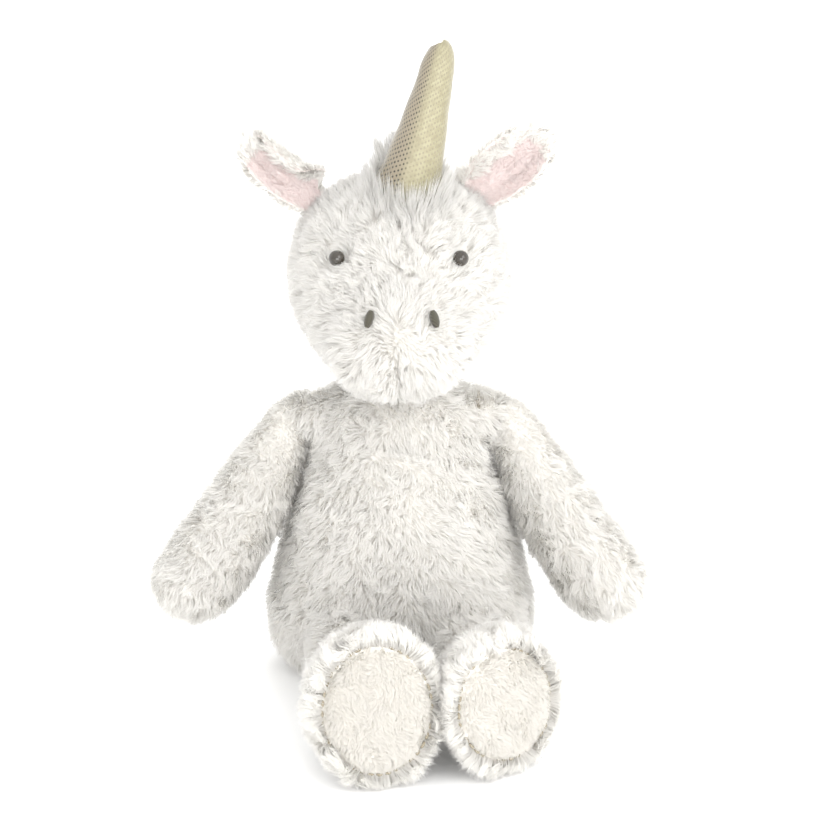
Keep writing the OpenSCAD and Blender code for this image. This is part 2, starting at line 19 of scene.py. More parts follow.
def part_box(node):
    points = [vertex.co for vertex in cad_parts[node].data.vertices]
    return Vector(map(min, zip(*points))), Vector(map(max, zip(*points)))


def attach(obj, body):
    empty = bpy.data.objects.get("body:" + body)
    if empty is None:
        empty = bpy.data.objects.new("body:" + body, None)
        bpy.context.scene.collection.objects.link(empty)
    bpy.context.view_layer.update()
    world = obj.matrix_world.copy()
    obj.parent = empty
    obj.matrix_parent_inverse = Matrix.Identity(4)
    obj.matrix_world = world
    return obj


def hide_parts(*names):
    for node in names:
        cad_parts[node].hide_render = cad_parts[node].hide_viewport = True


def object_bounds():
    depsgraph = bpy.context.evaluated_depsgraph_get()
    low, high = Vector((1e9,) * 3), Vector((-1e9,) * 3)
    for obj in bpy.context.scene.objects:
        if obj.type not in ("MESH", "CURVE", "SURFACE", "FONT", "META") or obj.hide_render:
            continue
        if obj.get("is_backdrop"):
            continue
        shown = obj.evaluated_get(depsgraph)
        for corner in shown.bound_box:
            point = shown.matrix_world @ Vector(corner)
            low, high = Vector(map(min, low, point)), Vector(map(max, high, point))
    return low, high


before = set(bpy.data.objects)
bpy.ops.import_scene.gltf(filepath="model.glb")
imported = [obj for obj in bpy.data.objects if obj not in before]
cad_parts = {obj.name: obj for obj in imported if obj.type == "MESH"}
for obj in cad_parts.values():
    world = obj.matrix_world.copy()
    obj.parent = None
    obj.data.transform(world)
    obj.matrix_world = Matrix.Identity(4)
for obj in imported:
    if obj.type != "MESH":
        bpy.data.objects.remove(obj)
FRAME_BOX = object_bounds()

log = logging.getLogger("unicorn")
MM = 0.001
FLOOR_GAP = 0.0004
Array = np.ndarray


class Side(Enum):
    """Left and right as seen from the front, with the sign of their X."""

    LEFT = -1
    RIGHT = 1

    @property
    def word(self) -> str:
        """The side's name in lower case."""
        return self.name.lower()


# ---- Small tools ---------------------------------------------------------


def linear(hex_colour: str) -> tuple[float, float, float, float]:
    """Turns an sRGB hex colour to linear light.

    Args:
        hex_colour: six hex digits after a hash.

    Returns:
        Red, green, blue and an alpha of 1.
    """
    parts = [int(hex_colour[i:i + 2], 16) / 255 for i in (1, 3, 5)]
    red, green, blue = (c / 12.92 if c <= 0.04045 else ((c + 0.055) / 1.055) ** 2.4 for c in parts)
    return red, green, blue, 1.0


def add(tree: bpy.types.NodeTree, kind: str, inputs: dict | None = None, **settings) -> bpy.types.Node:
    """Adds a node to a material's tree with its settings and links.

    Args:
        tree: the material's node tree.
        kind: the node's type name.
        inputs: socket name or index to a value, or to an output socket to link.
        **settings: the node's own properties.

    Returns:
        The new node.
    """
    node = tree.nodes.new(kind)
    for name, value in settings.items():
        setattr(node, name, value)
    for name, value in (inputs or {}).items():
        if isinstance(value, bpy.types.NodeSocket):
            tree.links.new(value, node.inputs[name])
        else:
            node.inputs[name].default_value = value
    return node


def new_material(name: str, **constants) -> tuple[bpy.types.Material, bpy.types.Node]:
    """Makes a material whose principled shader has these constant settings.

    Args:
        name: the material's name.
        **constants: socket names, with underscores for spaces, and values.

    Returns:
        The material and its principled shader.
    """
    material = bpy.data.materials.new(name)
    material.use_nodes = True
    shader = material.node_tree.nodes["Principled BSDF"]
    for socket, value in constants.items():
        shader.inputs[socket.replace("_", " ")].default_value = value
    return material, shader


def ramp(tree: bpy.types.NodeTree, factor: bpy.types.NodeSocket,
         stops: Sequence[tuple[float, str]]) -> bpy.types.NodeSocket:
    """Adds a colour ramp.

    Args:
        tree: the material's node tree.
        factor: what the ramp reads.
        stops: positions and hex colours.

    Returns:
        The ramp's colour output.
    """
    node = add(tree, "ShaderNodeValToRGB", {"Fac": factor})
    elements = node.color_ramp.elements
    while len(elements) < len(stops):
        elements.new(0.5)
    for element, (position, colour) in zip(elements, stops):
        element.position = position
        element.color = linear(colour)
    return node.outputs["Color"]


def ring(middle: Sequence[float], half_u: float, half_v: float,
         u: Sequence[float] = (1, 0, 0), v: Sequence[float] = (0, 1, 0)) -> Matrix:
    """A frame for one ring of a loft.

    Args:
        middle: the ring's middle, in millimetres.
        half_u: half its size along u.
        half_v: half its size along v.
        u: first direction in the ring's plane.
        v: second direction in the ring's plane.

    Returns:
        The matrix that carries a unit circle to the ring, in metres.
    """
    across, up = Vector(u) * half_u * MM, Vector(v) * half_v * MM
    normal = across.cross(up).normalized()
    matrix = Matrix.Identity(4)
    for column, vector in enumerate((across, up, normal, Vector(middle) * MM)):
        for row in range(3):
            matrix[row][column] = vector[row]
    return matrix


def loft(bm: bmesh.types.BMesh, rings: Sequence[Matrix], sides: int = 24) -> list[bmesh.types.BMVert]:
    """Extrudes a circle from ring to ring into a closed form.

    Args:
        bm: the mesh to add to.
        rings: the frames of the rings, in order.
        sides: corners of each ring.

    Returns:
        The form's vertices.
    """
    made = bmesh.ops.create_circle(bm, cap_ends=True, segments=sides, radius=1.0, matrix=rings[0])
    verts = list(made["verts"])
    cap = verts[0].link_faces[0]
    first = cap
    for before, after in zip(rings, rings[1:]):
        grown = bmesh.ops.extrude_face_region(bm, geom=[cap])["geom"]
        moved = [g for g in grown if isinstance(g, bmesh.types.BMVert)]
        if cap is not first and cap.is_valid:
            bmesh.ops.delete(bm, geom=[cap], context="FACES_ONLY")
        cap = next(g for g in grown if isinstance(g, bmesh.types.BMFace))
        bmesh.ops.transform(bm, matrix=after @ before.inverted(), verts=moved)
        verts += moved
    bmesh.ops.recalc_face_normals(bm, faces=list({f for v in verts for f in v.link_faces}))
    return verts


def smooth_rows(rows: Sequence[Sequence[float]], steps: int = 2) -> list[list[float]]:
    """Puts rows on a smooth curve between the given ones.

    Args:
        rows: rows of equally many numbers.
        steps: spans for each given span.

    Returns:
        The rows with steps - 1 new ones in each span.
    """
    made, last = [], len(rows) - 1
    for i in range(last):
        p0, p1, p2, p3 = (np.array(rows[k], float)
                          for k in (max(i - 1, 0), i, i + 1, min(i + 2, last)))
        for j in range(steps):
            t = j / steps
            made.append(p1 + 0.5 * t * (p2 - p0 + t * (2 * p0 - 5 * p1 + 4 * p2 - p3
                                                       + t * (3 * (p1 - p2) + p3 - p0))))
    return [list(r) for r in made] + [list(rows[last])]


def new_piece(name: str, bm: bmesh.types.BMesh) -> bpy.types.Object:
    """Puts a bmesh in the scene as a smooth object at the origin.

    Args:
        name: the piece's name.
        bm: the mesh, which is freed.

    Returns:
        The new object.
    """
    mesh = bpy.data.meshes.new(name)
    bm.to_mesh(mesh)
    bm.free()
    mesh.shade_smooth()
    obj = bpy.data.objects.new(name, mesh)
    bpy.context.scene.collection.objects.link(obj)
    return obj


def settle(obj: bpy.types.Object) -> None:
    """Applies every modifier of an object to its mesh."""
    graph = bpy.context.evaluated_depsgraph_get()
    mesh = bpy.data.meshes.new_from_object(obj.evaluated_get(graph))
    obj.modifiers.clear()
    old, obj.data = obj.data, mesh
    bpy.data.meshes.remove(old)
    mesh.shade_smooth()


def coords(obj: bpy.types.Object) -> Array:
    """The object's vertex places as rows of three."""
    flat = np.zeros(len(obj.data.vertices) * 3)
    obj.data.vertices.foreach_get("co", flat)
    return flat.reshape(-1, 3)


def set_coords(obj: bpy.types.Object, places: Array) -> None:
    """Moves the object's vertices to these places."""
    obj.data.vertices.foreach_set("co", places.astype(np.float32).ravel())
    obj.data.update()


def normals_of(obj: bpy.types.Object) -> Array:
    """The object's vertex normals as rows of three."""
    flat = np.zeros(len(obj.data.vertices) * 3)
    obj.data.vertices.foreach_get("normal", flat)
    return flat.reshape(-1, 3)


def refine(obj: bpy.types.Object, levels: int = 1) -> None:
    """Smooths an object's mesh by subdividing it this many times."""
    finer = obj.modifiers.new("finer", "SUBSURF")
    finer.levels = finer.render_levels = levels
    settle(obj)


def inside(matrix: Matrix) -> Callable[[Array], Array]:
    """A function that turns places of the part to places in this frame, in metres."""
    back = np.array(matrix.inverted())
    return lambda points: points @ back[:3, :3].T + back[:3, 3]


def dress(obj: bpy.types.Object, body: str, replaced: str | None = None,
          finish: bpy.types.Material | None = None) -> None:
    """Gives a finished piece its finish, hangs it on its body and hides the frame piece it stands for.

    Args:
        obj: the piece.
        body: the body that it rides on.
        replaced: the frame piece that it stands for.
        finish: its material, where it has none yet.
    """
    if finish is not None:
        obj.data.materials.append(finish)
    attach(obj, body)
    if replaced is not None:
        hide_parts(replaced)


def bell(distance: Array, width: float) -> Array:
    """1 where the distance is 0, falling smoothly to 0 past the width."""
    return np.exp(-(distance / width) ** 2)


def unit(vectors: Array) -> Array:
    """The vectors with a length of 1."""
    return vectors / np.maximum(np.linalg.norm(vectors, axis=-1, keepdims=True), 1e-12)


def ripple(points: Array, scale: float, seed: int) -> Array:
    """A smooth wavy vector field, each part between about -1 and 1.

    Args:
        points: places in metres.
        scale: typical distance between waves, in millimetres.
        seed: picks the waves.

    Returns:
        A vector for each point.
    """
    rng = np.random.default_rng(seed)
    total = np.zeros_like(points)
    for _ in range(5):
        wave = unit(rng.normal(size=(3, 3))) * (2 * math.pi / (scale * MM)) * rng.uniform(0.6, 1.5)
        total += np.sin(points @ wave.T + rng.uniform(0, 2 * math.pi, 3))
    return total / 2.4


# ---- Stuffed forms -------------------------------------------------------


@dataclass(frozen=True)
class Stuffing:
    """How a sewn form is filled: the cloth swells under the fibre's push.

    Attributes:
        voxel: size of the cloth's mesh, in mm.
        push: outward pressure of the fibre.
        swell: the furthest that the cloth may move, in mm.
        frames: steps of the simulation.
    """

    voxel: float = 5.0
    push: float = 4.0
    swell: float = 5.0
    frames: int = 20

    def fill(self, obj: bpy.types.Object, seam: Callable[[Array], Array]) -> None:
        """Remeshes a rough form, fills it, and draws it in along its seams.

        Args:
            obj: the form, whose mesh is replaced.
            seam: gives each place 1 on a seam, down to 0 away from any.
        """
        remesh = obj.modifiers.new("cloth_mesh", "REMESH")
        remesh.mode = "VOXEL"
        remesh.voxel_size = self.voxel * MM
        even = obj.modifiers.new("even", "SMOOTH")
        even.factor, even.iterations = 0.5, 3
        settle(obj)
        before = coords(obj)
        self.simulate(obj)
        moved = coords(obj) - before
        length = np.linalg.norm(moved, axis=1, keepdims=True)
        moved *= np.minimum(1, self.swell * MM / np.maximum(length, 1e-9))
        drawn = seam(before)[:, None]
        set_coords(obj, before + moved * (1 - 0.8 * drawn) - 0.9 * MM * drawn * normals_of(obj))
        refine(obj)

    def simulate(self, obj: bpy.types.Object) -> None:
        """Runs the cloth under pressure, without gravity, and keeps the result."""
        scene = bpy.context.scene
        cloth = obj.modifiers.new("cloth", "CLOTH")
        settings = cloth.settings
        settings.use_pressure = True
        settings.uniform_pressure_force = self.push
        settings.effector_weights.gravity = 0.0
        settings.quality = 4
        cloth.collision_settings.use_collision = False
        cloth.point_cache.frame_start, cloth.point_cache.frame_end = 1, self.frames
        for step in range(1, self.frames + 1):
            scene.frame_set(step)
        settle(obj)
        scene.frame_set(1)


# ---- Finishes ------------------------------------------------------------


@dataclass(frozen=True)
class PileFinish:
    """Combed acrylic pile: matt fibres, a little darker at their roots.

    The colour follows each fibre's own map: across it runs from fibre to
    fibre and up it runs from root to tip. The glow is the share of the
    light that passes through the thin fibres.
    """

    name: str
    root: str
    middle: str
    tip: str
    tone: str
    glow: float = 0.55

    def material(self) -> bpy.types.Material:
        """Builds the material."""
        material, shader = new_material(self.name, Roughness=0.9, Sheen_Weight=0.25,
                                        Sheen_Roughness=0.6, IOR=1.5, Specular_IOR_Level=0.15)
        tree = material.node_tree
        fibre = add(tree, "ShaderNodeUVMap", uv_map="OFBake")
        split = add(tree, "ShaderNodeSeparateXYZ", {"Vector": fibre.outputs["UV"]})
        along = ramp(tree, split.outputs["Y"], ((0.0, self.root), (0.55, self.middle), (1.0, self.tip)))
        each = add(tree, "ShaderNodeTexNoise", {"W": split.outputs["X"], "Scale": 38.0, "Detail": 2.0},
                   noise_dimensions="1D")
        amount = add(tree, "ShaderNodeMapRange", {"Value": each.outputs[0], "From Min": 0.35,
                                                  "From Max": 0.75, "To Min": 0.0, "To Max": 0.55})
        mixed = add(tree, "ShaderNodeMix", {"Factor": amount.outputs[0], "A": along,
                                            "B": linear(self.tone)}, data_type="RGBA")
        tree.links.new(mixed.outputs["Result"], shader.inputs["Base Color"])
        through = add(tree, "ShaderNodeBsdfTranslucent", {"Color": mixed.outputs["Result"]})
        both = add(tree, "ShaderNodeMixShader", {0: self.glow, 1: shader.outputs[0], 2: through.outputs[0]})
        tree.links.new(both.outputs[0], tree.nodes["Material Output"].inputs["Surface"])
        return material


@dataclass(frozen=True)
class KnitFinish:
    """Warp-knitted polyester backing: fine ribs, seen only between the fibres."""

    name: str
    light: str
    dark: str
    rib: float = 0.9

    def material(self) -> bpy.types.Material:
        """Builds the material, its ribs a knitted course apart."""
        material, shader = new_material(self.name, Roughness=0.92, Sheen_Weight=0.2,
                                        Specular_IOR_Level=0.2)
        tree = material.node_tree
        place = add(tree, "ShaderNodeTexCoord").outputs["Object"]
        ribs = add(tree, "ShaderNodeTexWave", {"Vector": place, "Scale": 1 / (self.rib * MM) / 6.283,
                                               "Distortion": 0.6}, bands_direction="DIAGONAL")
        colour = ramp(tree, ribs.outputs["Fac"], ((0.0, self.dark), (0.7, self.light)))
        bump = add(tree, "ShaderNodeBump", {"Height": ribs.outputs["Fac"], "Strength": 0.4,
                                            "Distance": 0.0003})
        tree.links.new(colour, shader.inputs["Base Color"])
        tree.links.new(bump.outputs["Normal"], shader.inputs["Normal"])
        return material


@dataclass(frozen=True)
class HornFinish:
    """Foil-printed knit: pale gold, with fine gaps between its loops.

    Down one side of the horn the gaps are painted near black and the ground
    painted darker, as painted shade. Two millimetre spans of the map round it say where that falls.
    """

    name: str = "foil_printed_knit"
    gold: str = "#a39d80"
    shade: str = "#948d72"
    # Painted shade: near-black gaps down one side of the horn.
    gap: str = "#17140d"
    foil: str = "#8f8772"
    # Painted shade: the darker ground down that same side.
    wear_and_painted_shade: str = "#8f8572"
    # Millimetres between rows, and between gaps along a row.
    row_pitch: float = 2.1
    dot_pitch: float = 1.35
    # Spans of the map round the horn where the painted shade falls.
    painted_shade_side: tuple[tuple[float, float], ...] = ((-22.0, -15.5), (33.0, 26.0))

    def material(self) -> bpy.types.Material:
        """Builds the material. Its map holds millimetres round and along the horn."""
        material, shader = new_material(self.name, Roughness=0.42, Metallic=0.15, Sheen_Weight=0.4,
                                        Sheen_Roughness=0.35, Coat_Weight=0.25, Coat_Roughness=0.3)
        tree = material.node_tree
        flat = add(tree, "ShaderNodeUVMap", uv_map="Cloth").outputs["UV"]
        turned = add(tree, "ShaderNodeMapping", {"Vector": flat, "Rotation": (0, 0, math.radians(-24)),
                                                 "Scale": (1 / self.dot_pitch, 1 / self.row_pitch, 1)})
        parts = add(tree, "ShaderNodeSeparateXYZ", {"Vector": turned.outputs[0]})
        row = add(tree, "ShaderNodeMath", {0: parts.outputs["Y"]}, operation="FLOOR")
        shift = add(tree, "ShaderNodeMath", {0: row.outputs[0], 1: 0.5}, operation="MULTIPLY")
        along = add(tree, "ShaderNodeMath", {0: parts.outputs["X"], 1: shift.outputs[0]}, operation="ADD")
        squares = []
        for source in (along.outputs[0], parts.outputs["Y"]):
            part = add(tree, "ShaderNodeMath", {0: source}, operation="FRACT")
            centred = add(tree, "ShaderNodeMath", {0: part.outputs[0], 1: 0.5}, operation="SUBTRACT")
            squares.append(add(tree, "ShaderNodeMath", {0: centred.outputs[0], 1: 2.0}, operation="POWER"))
        both = add(tree, "ShaderNodeMath", {0: squares[0].outputs[0], 1: squares[1].outputs[0]},
                   operation="ADD")
        # Random mottle of the ground and of the gap size.
        wear_and_painted_shade = add(tree, "ShaderNodeTexNoise", {"Vector": flat, "Scale": 0.35, "Detail": 3.0})
        edge = add(tree, "ShaderNodeMapRange", {"Value": wear_and_painted_shade.outputs[0], "From Min": 0.3, "From Max": 0.7,
                                                "To Min": 0.05, "To Max": 0.15})
        dot = add(tree, "ShaderNodeMapRange", {"Value": both.outputs[0], "From Min": edge.outputs[0],
                                               "From Max": 0.0, "To Min": 0.0, "To Max": 1.0},
                  interpolation_type="SMOOTHSTEP")
        ground = ramp(tree, wear_and_painted_shade.outputs[0], ((0.35, self.shade), (0.62, self.gold)))
        # Painted shade: this mask is 1 down one side of the horn and 0 elsewhere.
        round_it = add(tree, "ShaderNodeSeparateXYZ", {"Vector": flat}).outputs["X"]
        sides = [add(tree, "ShaderNodeMapRange", {"Value": round_it, "From Min": near, "From Max": far,
                                                  "To Min": 1.0, "To Max": 0.0}).outputs[0]
                 for near, far in self.painted_shade_side]
        painted_shade_side = add(tree, "ShaderNodeMath", {0: sides[0], 1: sides[1]}, operation="MAXIMUM")
        # Painted shade: there the gaps go near black and the ground darker.
        print_and_painted_shade = ramp(tree, painted_shade_side.outputs[0], ((0.05, self.foil), (0.3, self.shade), (0.7, self.gap)))
        ground_in_painted_shade = add(tree, "ShaderNodeMix", {"Factor": painted_shade_side.outputs[0], "A": ground,
                                             "B": linear(self.wear_and_painted_shade)}, data_type="RGBA")
        mixed = add(tree, "ShaderNodeMix", {"Factor": dot.outputs[0], "A": ground_in_painted_shade.outputs["Result"],
                                            "B": print_and_painted_shade}, data_type="RGBA")
        weave = add(tree, "ShaderNodeTexNoise", {"Vector": flat, "Scale": 2.2, "Detail": 4.0})
        height = add(tree, "ShaderNodeMath", {0: weave.outputs[0], 1: dot.outputs[0]}, operation="SUBTRACT")
        bump = add(tree, "ShaderNodeBump", {"Height": height.outputs[0], "Strength": 0.55,
                                            "Distance": 0.0004})
        rough = add(tree, "ShaderNodeMapRange", {"Value": weave.outputs[0], "To Min": 0.25, "To Max": 0.6})
        tree.links.new(mixed.outputs["Result"], shader.inputs["Base Color"])
        tree.links.new(bump.outputs["Normal"], shader.inputs["Normal"])
        tree.links.new(rough.outputs[0], shader.inputs["Roughness"])
        return material


@dataclass(frozen=True)
class MouldedFinish:
    """Injection-moulded plastic, with the faint mottle of its mould."""

    name: str
    colour: str
    mottle: str
    roughness: float
    coat: float = 0.0

    def material(self) -> bpy.types.Material:
        """Builds the material."""
        material, shader = new_material(self.name, IOR=1.49, Coat_Weight=self.coat, Coat_Roughness=0.04)
        tree = material.node_tree
        place = add(tree, "ShaderNodeTexCoord").outputs["Object"]
        cloud = add(tree, "ShaderNodeTexNoise", {"Vector": place, "Scale": 600.0, "Detail": 3.0})
        colour = ramp(tree, cloud.outputs[0], ((0.35, self.colour), (0.7, self.mottle)))
        rough = add(tree, "ShaderNodeMapRange", {"Value": cloud.outputs[0], "To Min": self.roughness * 0.7,
                                                 "To Max": self.roughness * 1.3})
        tree.links.new(colour, shader.inputs["Base Color"])
        tree.links.new(rough.outputs[0], shader.inputs["Roughness"])
        return material


@dataclass(frozen=True)
class ThreadFinish:
    """Rayon embroidery thread: plies that twist round it and a soft lustre."""

    name: str
    colour: str
    light: str
    ply: float = 0.35

    def material(self) -> bpy.types.Material:
        """Builds the material, its plies at their own pitch."""
        material, shader = new_material(self.name, Roughness=0.6, Sheen_Weight=0.3, IOR=1.5)
        tree = material.node_tree
        place = add(tree, "ShaderNodeTexCoord").outputs["Object"]
        plies = add(tree, "ShaderNodeTexWave", {"Vector": place, "Scale": 1 / (self.ply * MM) / 6.283,
                                                "Distortion": 1.0}, bands_direction="DIAGONAL")
        colour = ramp(tree, plies.outputs["Fac"], ((0.2, self.colour), (0.95, self.light)))
        bump = add(tree, "ShaderNodeBump", {"Height": plies.outputs["Fac"], "Strength": 0.5,
                                            "Distance": 0.0001})
        tree.links.new(colour, shader.inputs["Base Color"])
        tree.links.new(bump.outputs["Normal"], shader.inputs["Normal"])
        return material


class Finishes:
    """Every finish of the toy, built once."""

    def __init__(self) -> None:
        """Builds the materials."""
        # Brushed acrylic pile: matt, bright and soft, as light passes through it.
        self.white_pile = PileFinish("white_acrylic_pile", "#f6f3ee", "#fbfaf7", "#fefdfc",
                                     "#f5f3ee").material()
        # The same pile shorn short: smoother and a shade creamier.
        self.sole_pile = PileFinish("short_white_pile", "#f2efe9", "#f6f4ef", "#fbf9f6",
                                    "#f0ede7").material()
        # Short dyed pile: a faint pink that the backing deepens.
        self.pink_pile = PileFinish("short_pink_pile", "#f6ebe9", "#f9f0ee", "#fbf5f3",
                                    "#f7edeb").material()
        # Warp knit: fine matt ribs, seen only where the pile parts.
        self.backing = KnitFinish("knitted_backing", "#faf8f5", "#efece6").material()
        self.pink_backing = KnitFinish("pink_knitted_backing", "#f8efed", "#f1e3e1").material()
        # Turned-in knit: duller and shadowed, with wider ribs.
        self.seam = KnitFinish("seam_allowance_knit", "#d9d3c8", "#b5ad9f", 1.1).material()
        # Carded polyester: a plain white fluff of fine strands.
        self.fibre = KnitFinish("carded_polyester_fibre", "#ffffff", "#e9e9e9", 0.4).material()
        # Plain-woven cotton: unbleached, with a fine visible thread.
        self.bag = KnitFinish("plain_woven_cotton", "#efe9dc", "#d3cbba", 0.5).material()
        # Woven satin ribbon: a smooth white strip with a very fine weave.
        self.label = KnitFinish("woven_satin_ribbon", "#fbfbf9", "#e6e6e2", 0.25).material()
        # Foil-printed knit: a dull gold lustre broken by rows of dark gaps, with painted shade darkening the
        # gaps and the ground down one side.
        self.horn = HornFinish().material()
        # Polished bead plastic: nearly black, with one small sharp gleam.
        self.bead = MouldedFinish("polished_bead_plastic", "#2a251b", "#38322a", 0.14, 0.6).material()
        # Moulded plastic and pellets: milky, with a soft broad shine.
        self.washer = MouldedFinish("moulded_washer_plastic", "#eeeeea", "#deded8", 0.45).material()
        self.pellets = MouldedFinish("polyethylene_pellets", "#f1efe6", "#d8d4c6", 0.5).material()
        # Rayon thread, lustrous along its plies: dark olive, and a seam beige that is painted shade of the
        # recessed seam line.
        self.nostril = ThreadFinish("olive_rayon_thread", "#2f2c22", "#565242").material()
        self.beige = ThreadFinish("beige_seam_thread", "#8d8573", "#a59c87").material()


# ---- Pile ----------------------------------------------------------------


class Skin:
    """The triangles of a finished form, ready to take a pile."""

    def __init__(self, obj: bpy.types.Object, share: Array | None = None) -> None:
        """Reads the form's mesh.

        Args:
            obj: a finished form at the origin.
            share: the share of the pile that each vertex takes.
        """
        mesh = obj.data
        mesh.calc_loop_triangles()
        self.points = coords(obj)
        self.normals = normals_of(obj)
        corners = np.zeros(len(mesh.loop_triangles) * 3, np.int64)
        mesh.loop_triangles.foreach_get("vertices", corners)
        self.corners = corners.reshape(-1, 3)
        a, b, c = (self.points[self.corners[:, k]] for k in range(3))
        self.areas = np.linalg.norm(np.cross(b - a, c - a), axis=1) / 2
        if share is not None:
            self.areas *= share[self.corners].mean(axis=1)

    def scatter(self, per_mm2: float, rng: np.random.Generator) -> tuple[Array, Array]:
        """Scatters places evenly over the whole skin.

        Args:
            per_mm2: places for each square millimetre.
            rng: the source of chance.

        Returns:
            The places and the skin's normals there.
        """
        count = int(self.areas.sum() / MM ** 2 * per_mm2)
        picked = rng.choice(len(self.areas), count, p=self.areas / self.areas.sum())
        share = rng.dirichlet((1, 1, 1), count)
        corners = self.corners[picked]
        places = (self.points[corners] * share[:, :, None]).sum(1)
        return places, unit((self.normals[corners] * share[:, :, None]).sum(1))


@dataclass(frozen=True)
class Pile:
    """A cut of pile fabric, its fibres as tapered ribbons gathered in tufts.

    Attributes:
        length: length of a fibre, in mm.
        per_mm2: fibres drawn for each square millimetre. A real pile has
            about ten times as many, each a tenth as wide.
        width: width of a drawn fibre at its root, in mm.
        tuft: distance between tufts, in mm.
        gather: how far the tips are drawn to the middle of their tuft.
        lie: how far the pile leans over, in degrees.
        stray: how far the lean of a tuft strays, in degrees.
    """

    length: float = 8.2
    per_mm2: float = 4.4
    width: float = 0.34
    tuft: float = 3.0
    gather: float = 0.2
    lie: float = 37.0
    stray: float = 9.0

    def grow(self, name: str, skin: Skin, material: bpy.types.Material,
             comb: Callable[[Array], Array], keep: Callable[[Array, Array], Array],
             seed: int, trim: Callable[[Array], Array] | None = None,
             lift: Callable[[Array], Array] | None = None) -> bpy.types.Object:
        """Grows the pile on a part of a skin.

        Args:
            name: the piece's name.
            skin: the skin it grows on.
            material: the pile's finish.
            comb: the direction that the pile is brushed in at each place.
            keep: the share of fibres kept at each place and normal.
            seed: the piece's own seed.
            trim: share of the full length at each place.
            lift: how far each place's fibres stand up, from 0 to 1.

        Returns:
            The pile as one object.
        """
        rng = np.random.default_rng(seed)
        root, normal = skin.scatter(self.per_mm2, rng)
        kept = rng.random(len(root)) < keep(root, normal)
        root, normal = root[kept], normal[kept]
        count = len(root)
        length = self.length * MM * rng.uniform(0.78, 1.12, count)
        if trim is not None:
            length *= trim(root)
        length *= 1 + 0.12 * ripple(root, 14, seed + 1)[:, 0]
        key = np.floor((root + ripple(root, 2.6 * self.tuft, seed + 2) * self.tuft * 0.45 * MM)
                       / (self.tuft * MM)).astype(np.int64)
        _, tuft = np.unique(key, axis=0, return_inverse=True)
        tuft = tuft.ravel()
        tufts = int(tuft.max()) + 1
        flow = comb(root) + 0.75 * ripple(root, 11, seed + 3)
        flow = unit(flow - (flow * normal).sum(1, keepdims=True) * normal)
        side = np.cross(normal, flow)
        yaw = rng.normal(0, math.radians(self.stray) * 1.8, tufts)[tuft] + rng.normal(0, 0.22, count)
        flow = flow * np.cos(yaw)[:, None] + side * np.sin(yaw)[:, None]
        lean = np.radians(self.lie + self.stray * rng.normal(0, 0.6, tufts)[tuft]
                          + rng.normal(0, 7, count))
        if lift is not None:
            lean *= 1 - lift(root)
        lean = np.clip(lean, 0.05, 1.35)[:, None]
        along = length[:, None]
        middle = root + along * 0.5 * (normal * np.cos(lean * 0.6) + flow * np.sin(lean * 0.6))
        tip = middle + along * 0.5 * (normal * np.cos(lean * 1.5) + flow * np.sin(lean * 1.5))
        size = np.bincount(tuft)[:, None]
        for place, share in ((middle, 0.4 * self.gather), (tip, self.gather)):
            centre = np.stack([np.bincount(tuft, place[:, k]) for k in range(3)], 1) / size
            pull = np.clip(share * rng.uniform(0.6, 1.25, (count, 1)), 0, 0.95)
            place += (centre[tuft] - place) * pull
        middle[:, 2] = np.maximum(middle[:, 2], FLOOR_GAP)
        tip[:, 2] = np.maximum(tip[:, 2], FLOOR_GAP)
        across = unit(np.cross(normal, tip - root) + rng.normal(0, 0.35, (count, 3)) * along)
        half = (self.width * MM / 2 * rng.uniform(0.75, 1.2, count))[:, None]
        return self.weave(name, material, (root - normal * 0.0006, middle, tip), across * half, normal, rng)

    @staticmethod
    def weave(name: str, material: bpy.types.Material, spine: tuple[Array, Array, Array],
              across: Array, normal: Array, rng: np.random.Generator) -> bpy.types.Object:
        """Makes the ribbons, each a quad and a pointed end.

        Args:
            name: the piece's name.
            material: the pile's finish.
            spine: root, middle and tip of each fibre.
            across: half its width at the root.
            normal: the skin's normal under it.
            rng: the source of chance.

        Returns:
            The pile as one object.
        """
        root, middle, tip = spine
        count = len(root)
        facing = np.cross(across, tip - root)
        flip = np.where((facing * normal).sum(1, keepdims=True) < 0, -1.0, 1.0)
        across = across * flip
        verts = np.stack((root - across, root + across, middle - across * 0.85,
                          middle + across * 0.85, tip), 1).reshape(-1, 3)
        first = np.arange(count)[:, None] * 5
        loops = (first + np.array((0, 1, 3, 2, 2, 3, 4))).ravel()
        starts = (np.arange(count)[:, None] * 7 + np.array((0, 4))).ravel()
        mesh = bpy.data.meshes.new(name)
        mesh.vertices.add(count * 5)
        mesh.vertices.foreach_set("co", verts.astype(np.float32).ravel())
        mesh.loops.add(count * 7)
        mesh.loops.foreach_set("vertex_index", loops.astype(np.int32))
        mesh.polygons.add(count * 2)
        mesh.polygons.foreach_set("loop_start", starts.astype(np.int32))
        mesh.update(calc_edges=True)
        mesh.shade_smooth()
        start = rng.uniform(0.02, 0.96, count)[:, None]
        u = start + np.array((0.0, 0.012, 0.012, 0.0, 0.0, 0.012, 0.006))
        v = np.broadcast_to(np.array((0.02, 0.02, 0.5, 0.5, 0.5, 0.5, 0.98)), u.shape)
        layer = mesh.uv_layers.new(name="OFBake")
        layer.data.foreach_set("uv", np.stack((u, v), -1).astype(np.float32).ravel())
        own = unit(np.cross(across, tip - root))
        soft = unit(normal * 0.72 + own * 0.28 + rng.normal(0, 0.08, (count, 3)))
        mesh.normals_split_custom_set_from_vertices(np.repeat(soft, 5, 0).tolist())
        mesh.materials.append(material)
        obj = bpy.data.objects.new(name, mesh)
        bpy.context.scene.collection.objects.link(obj)
        log.info("%s: %d fibres", name, count)
        return obj


def everywhere(points: Array, normals: Array) -> Array:
    """Keeps every fibre."""
    return np.ones(len(points))


# ---- Body ----------------------------------------------------------------


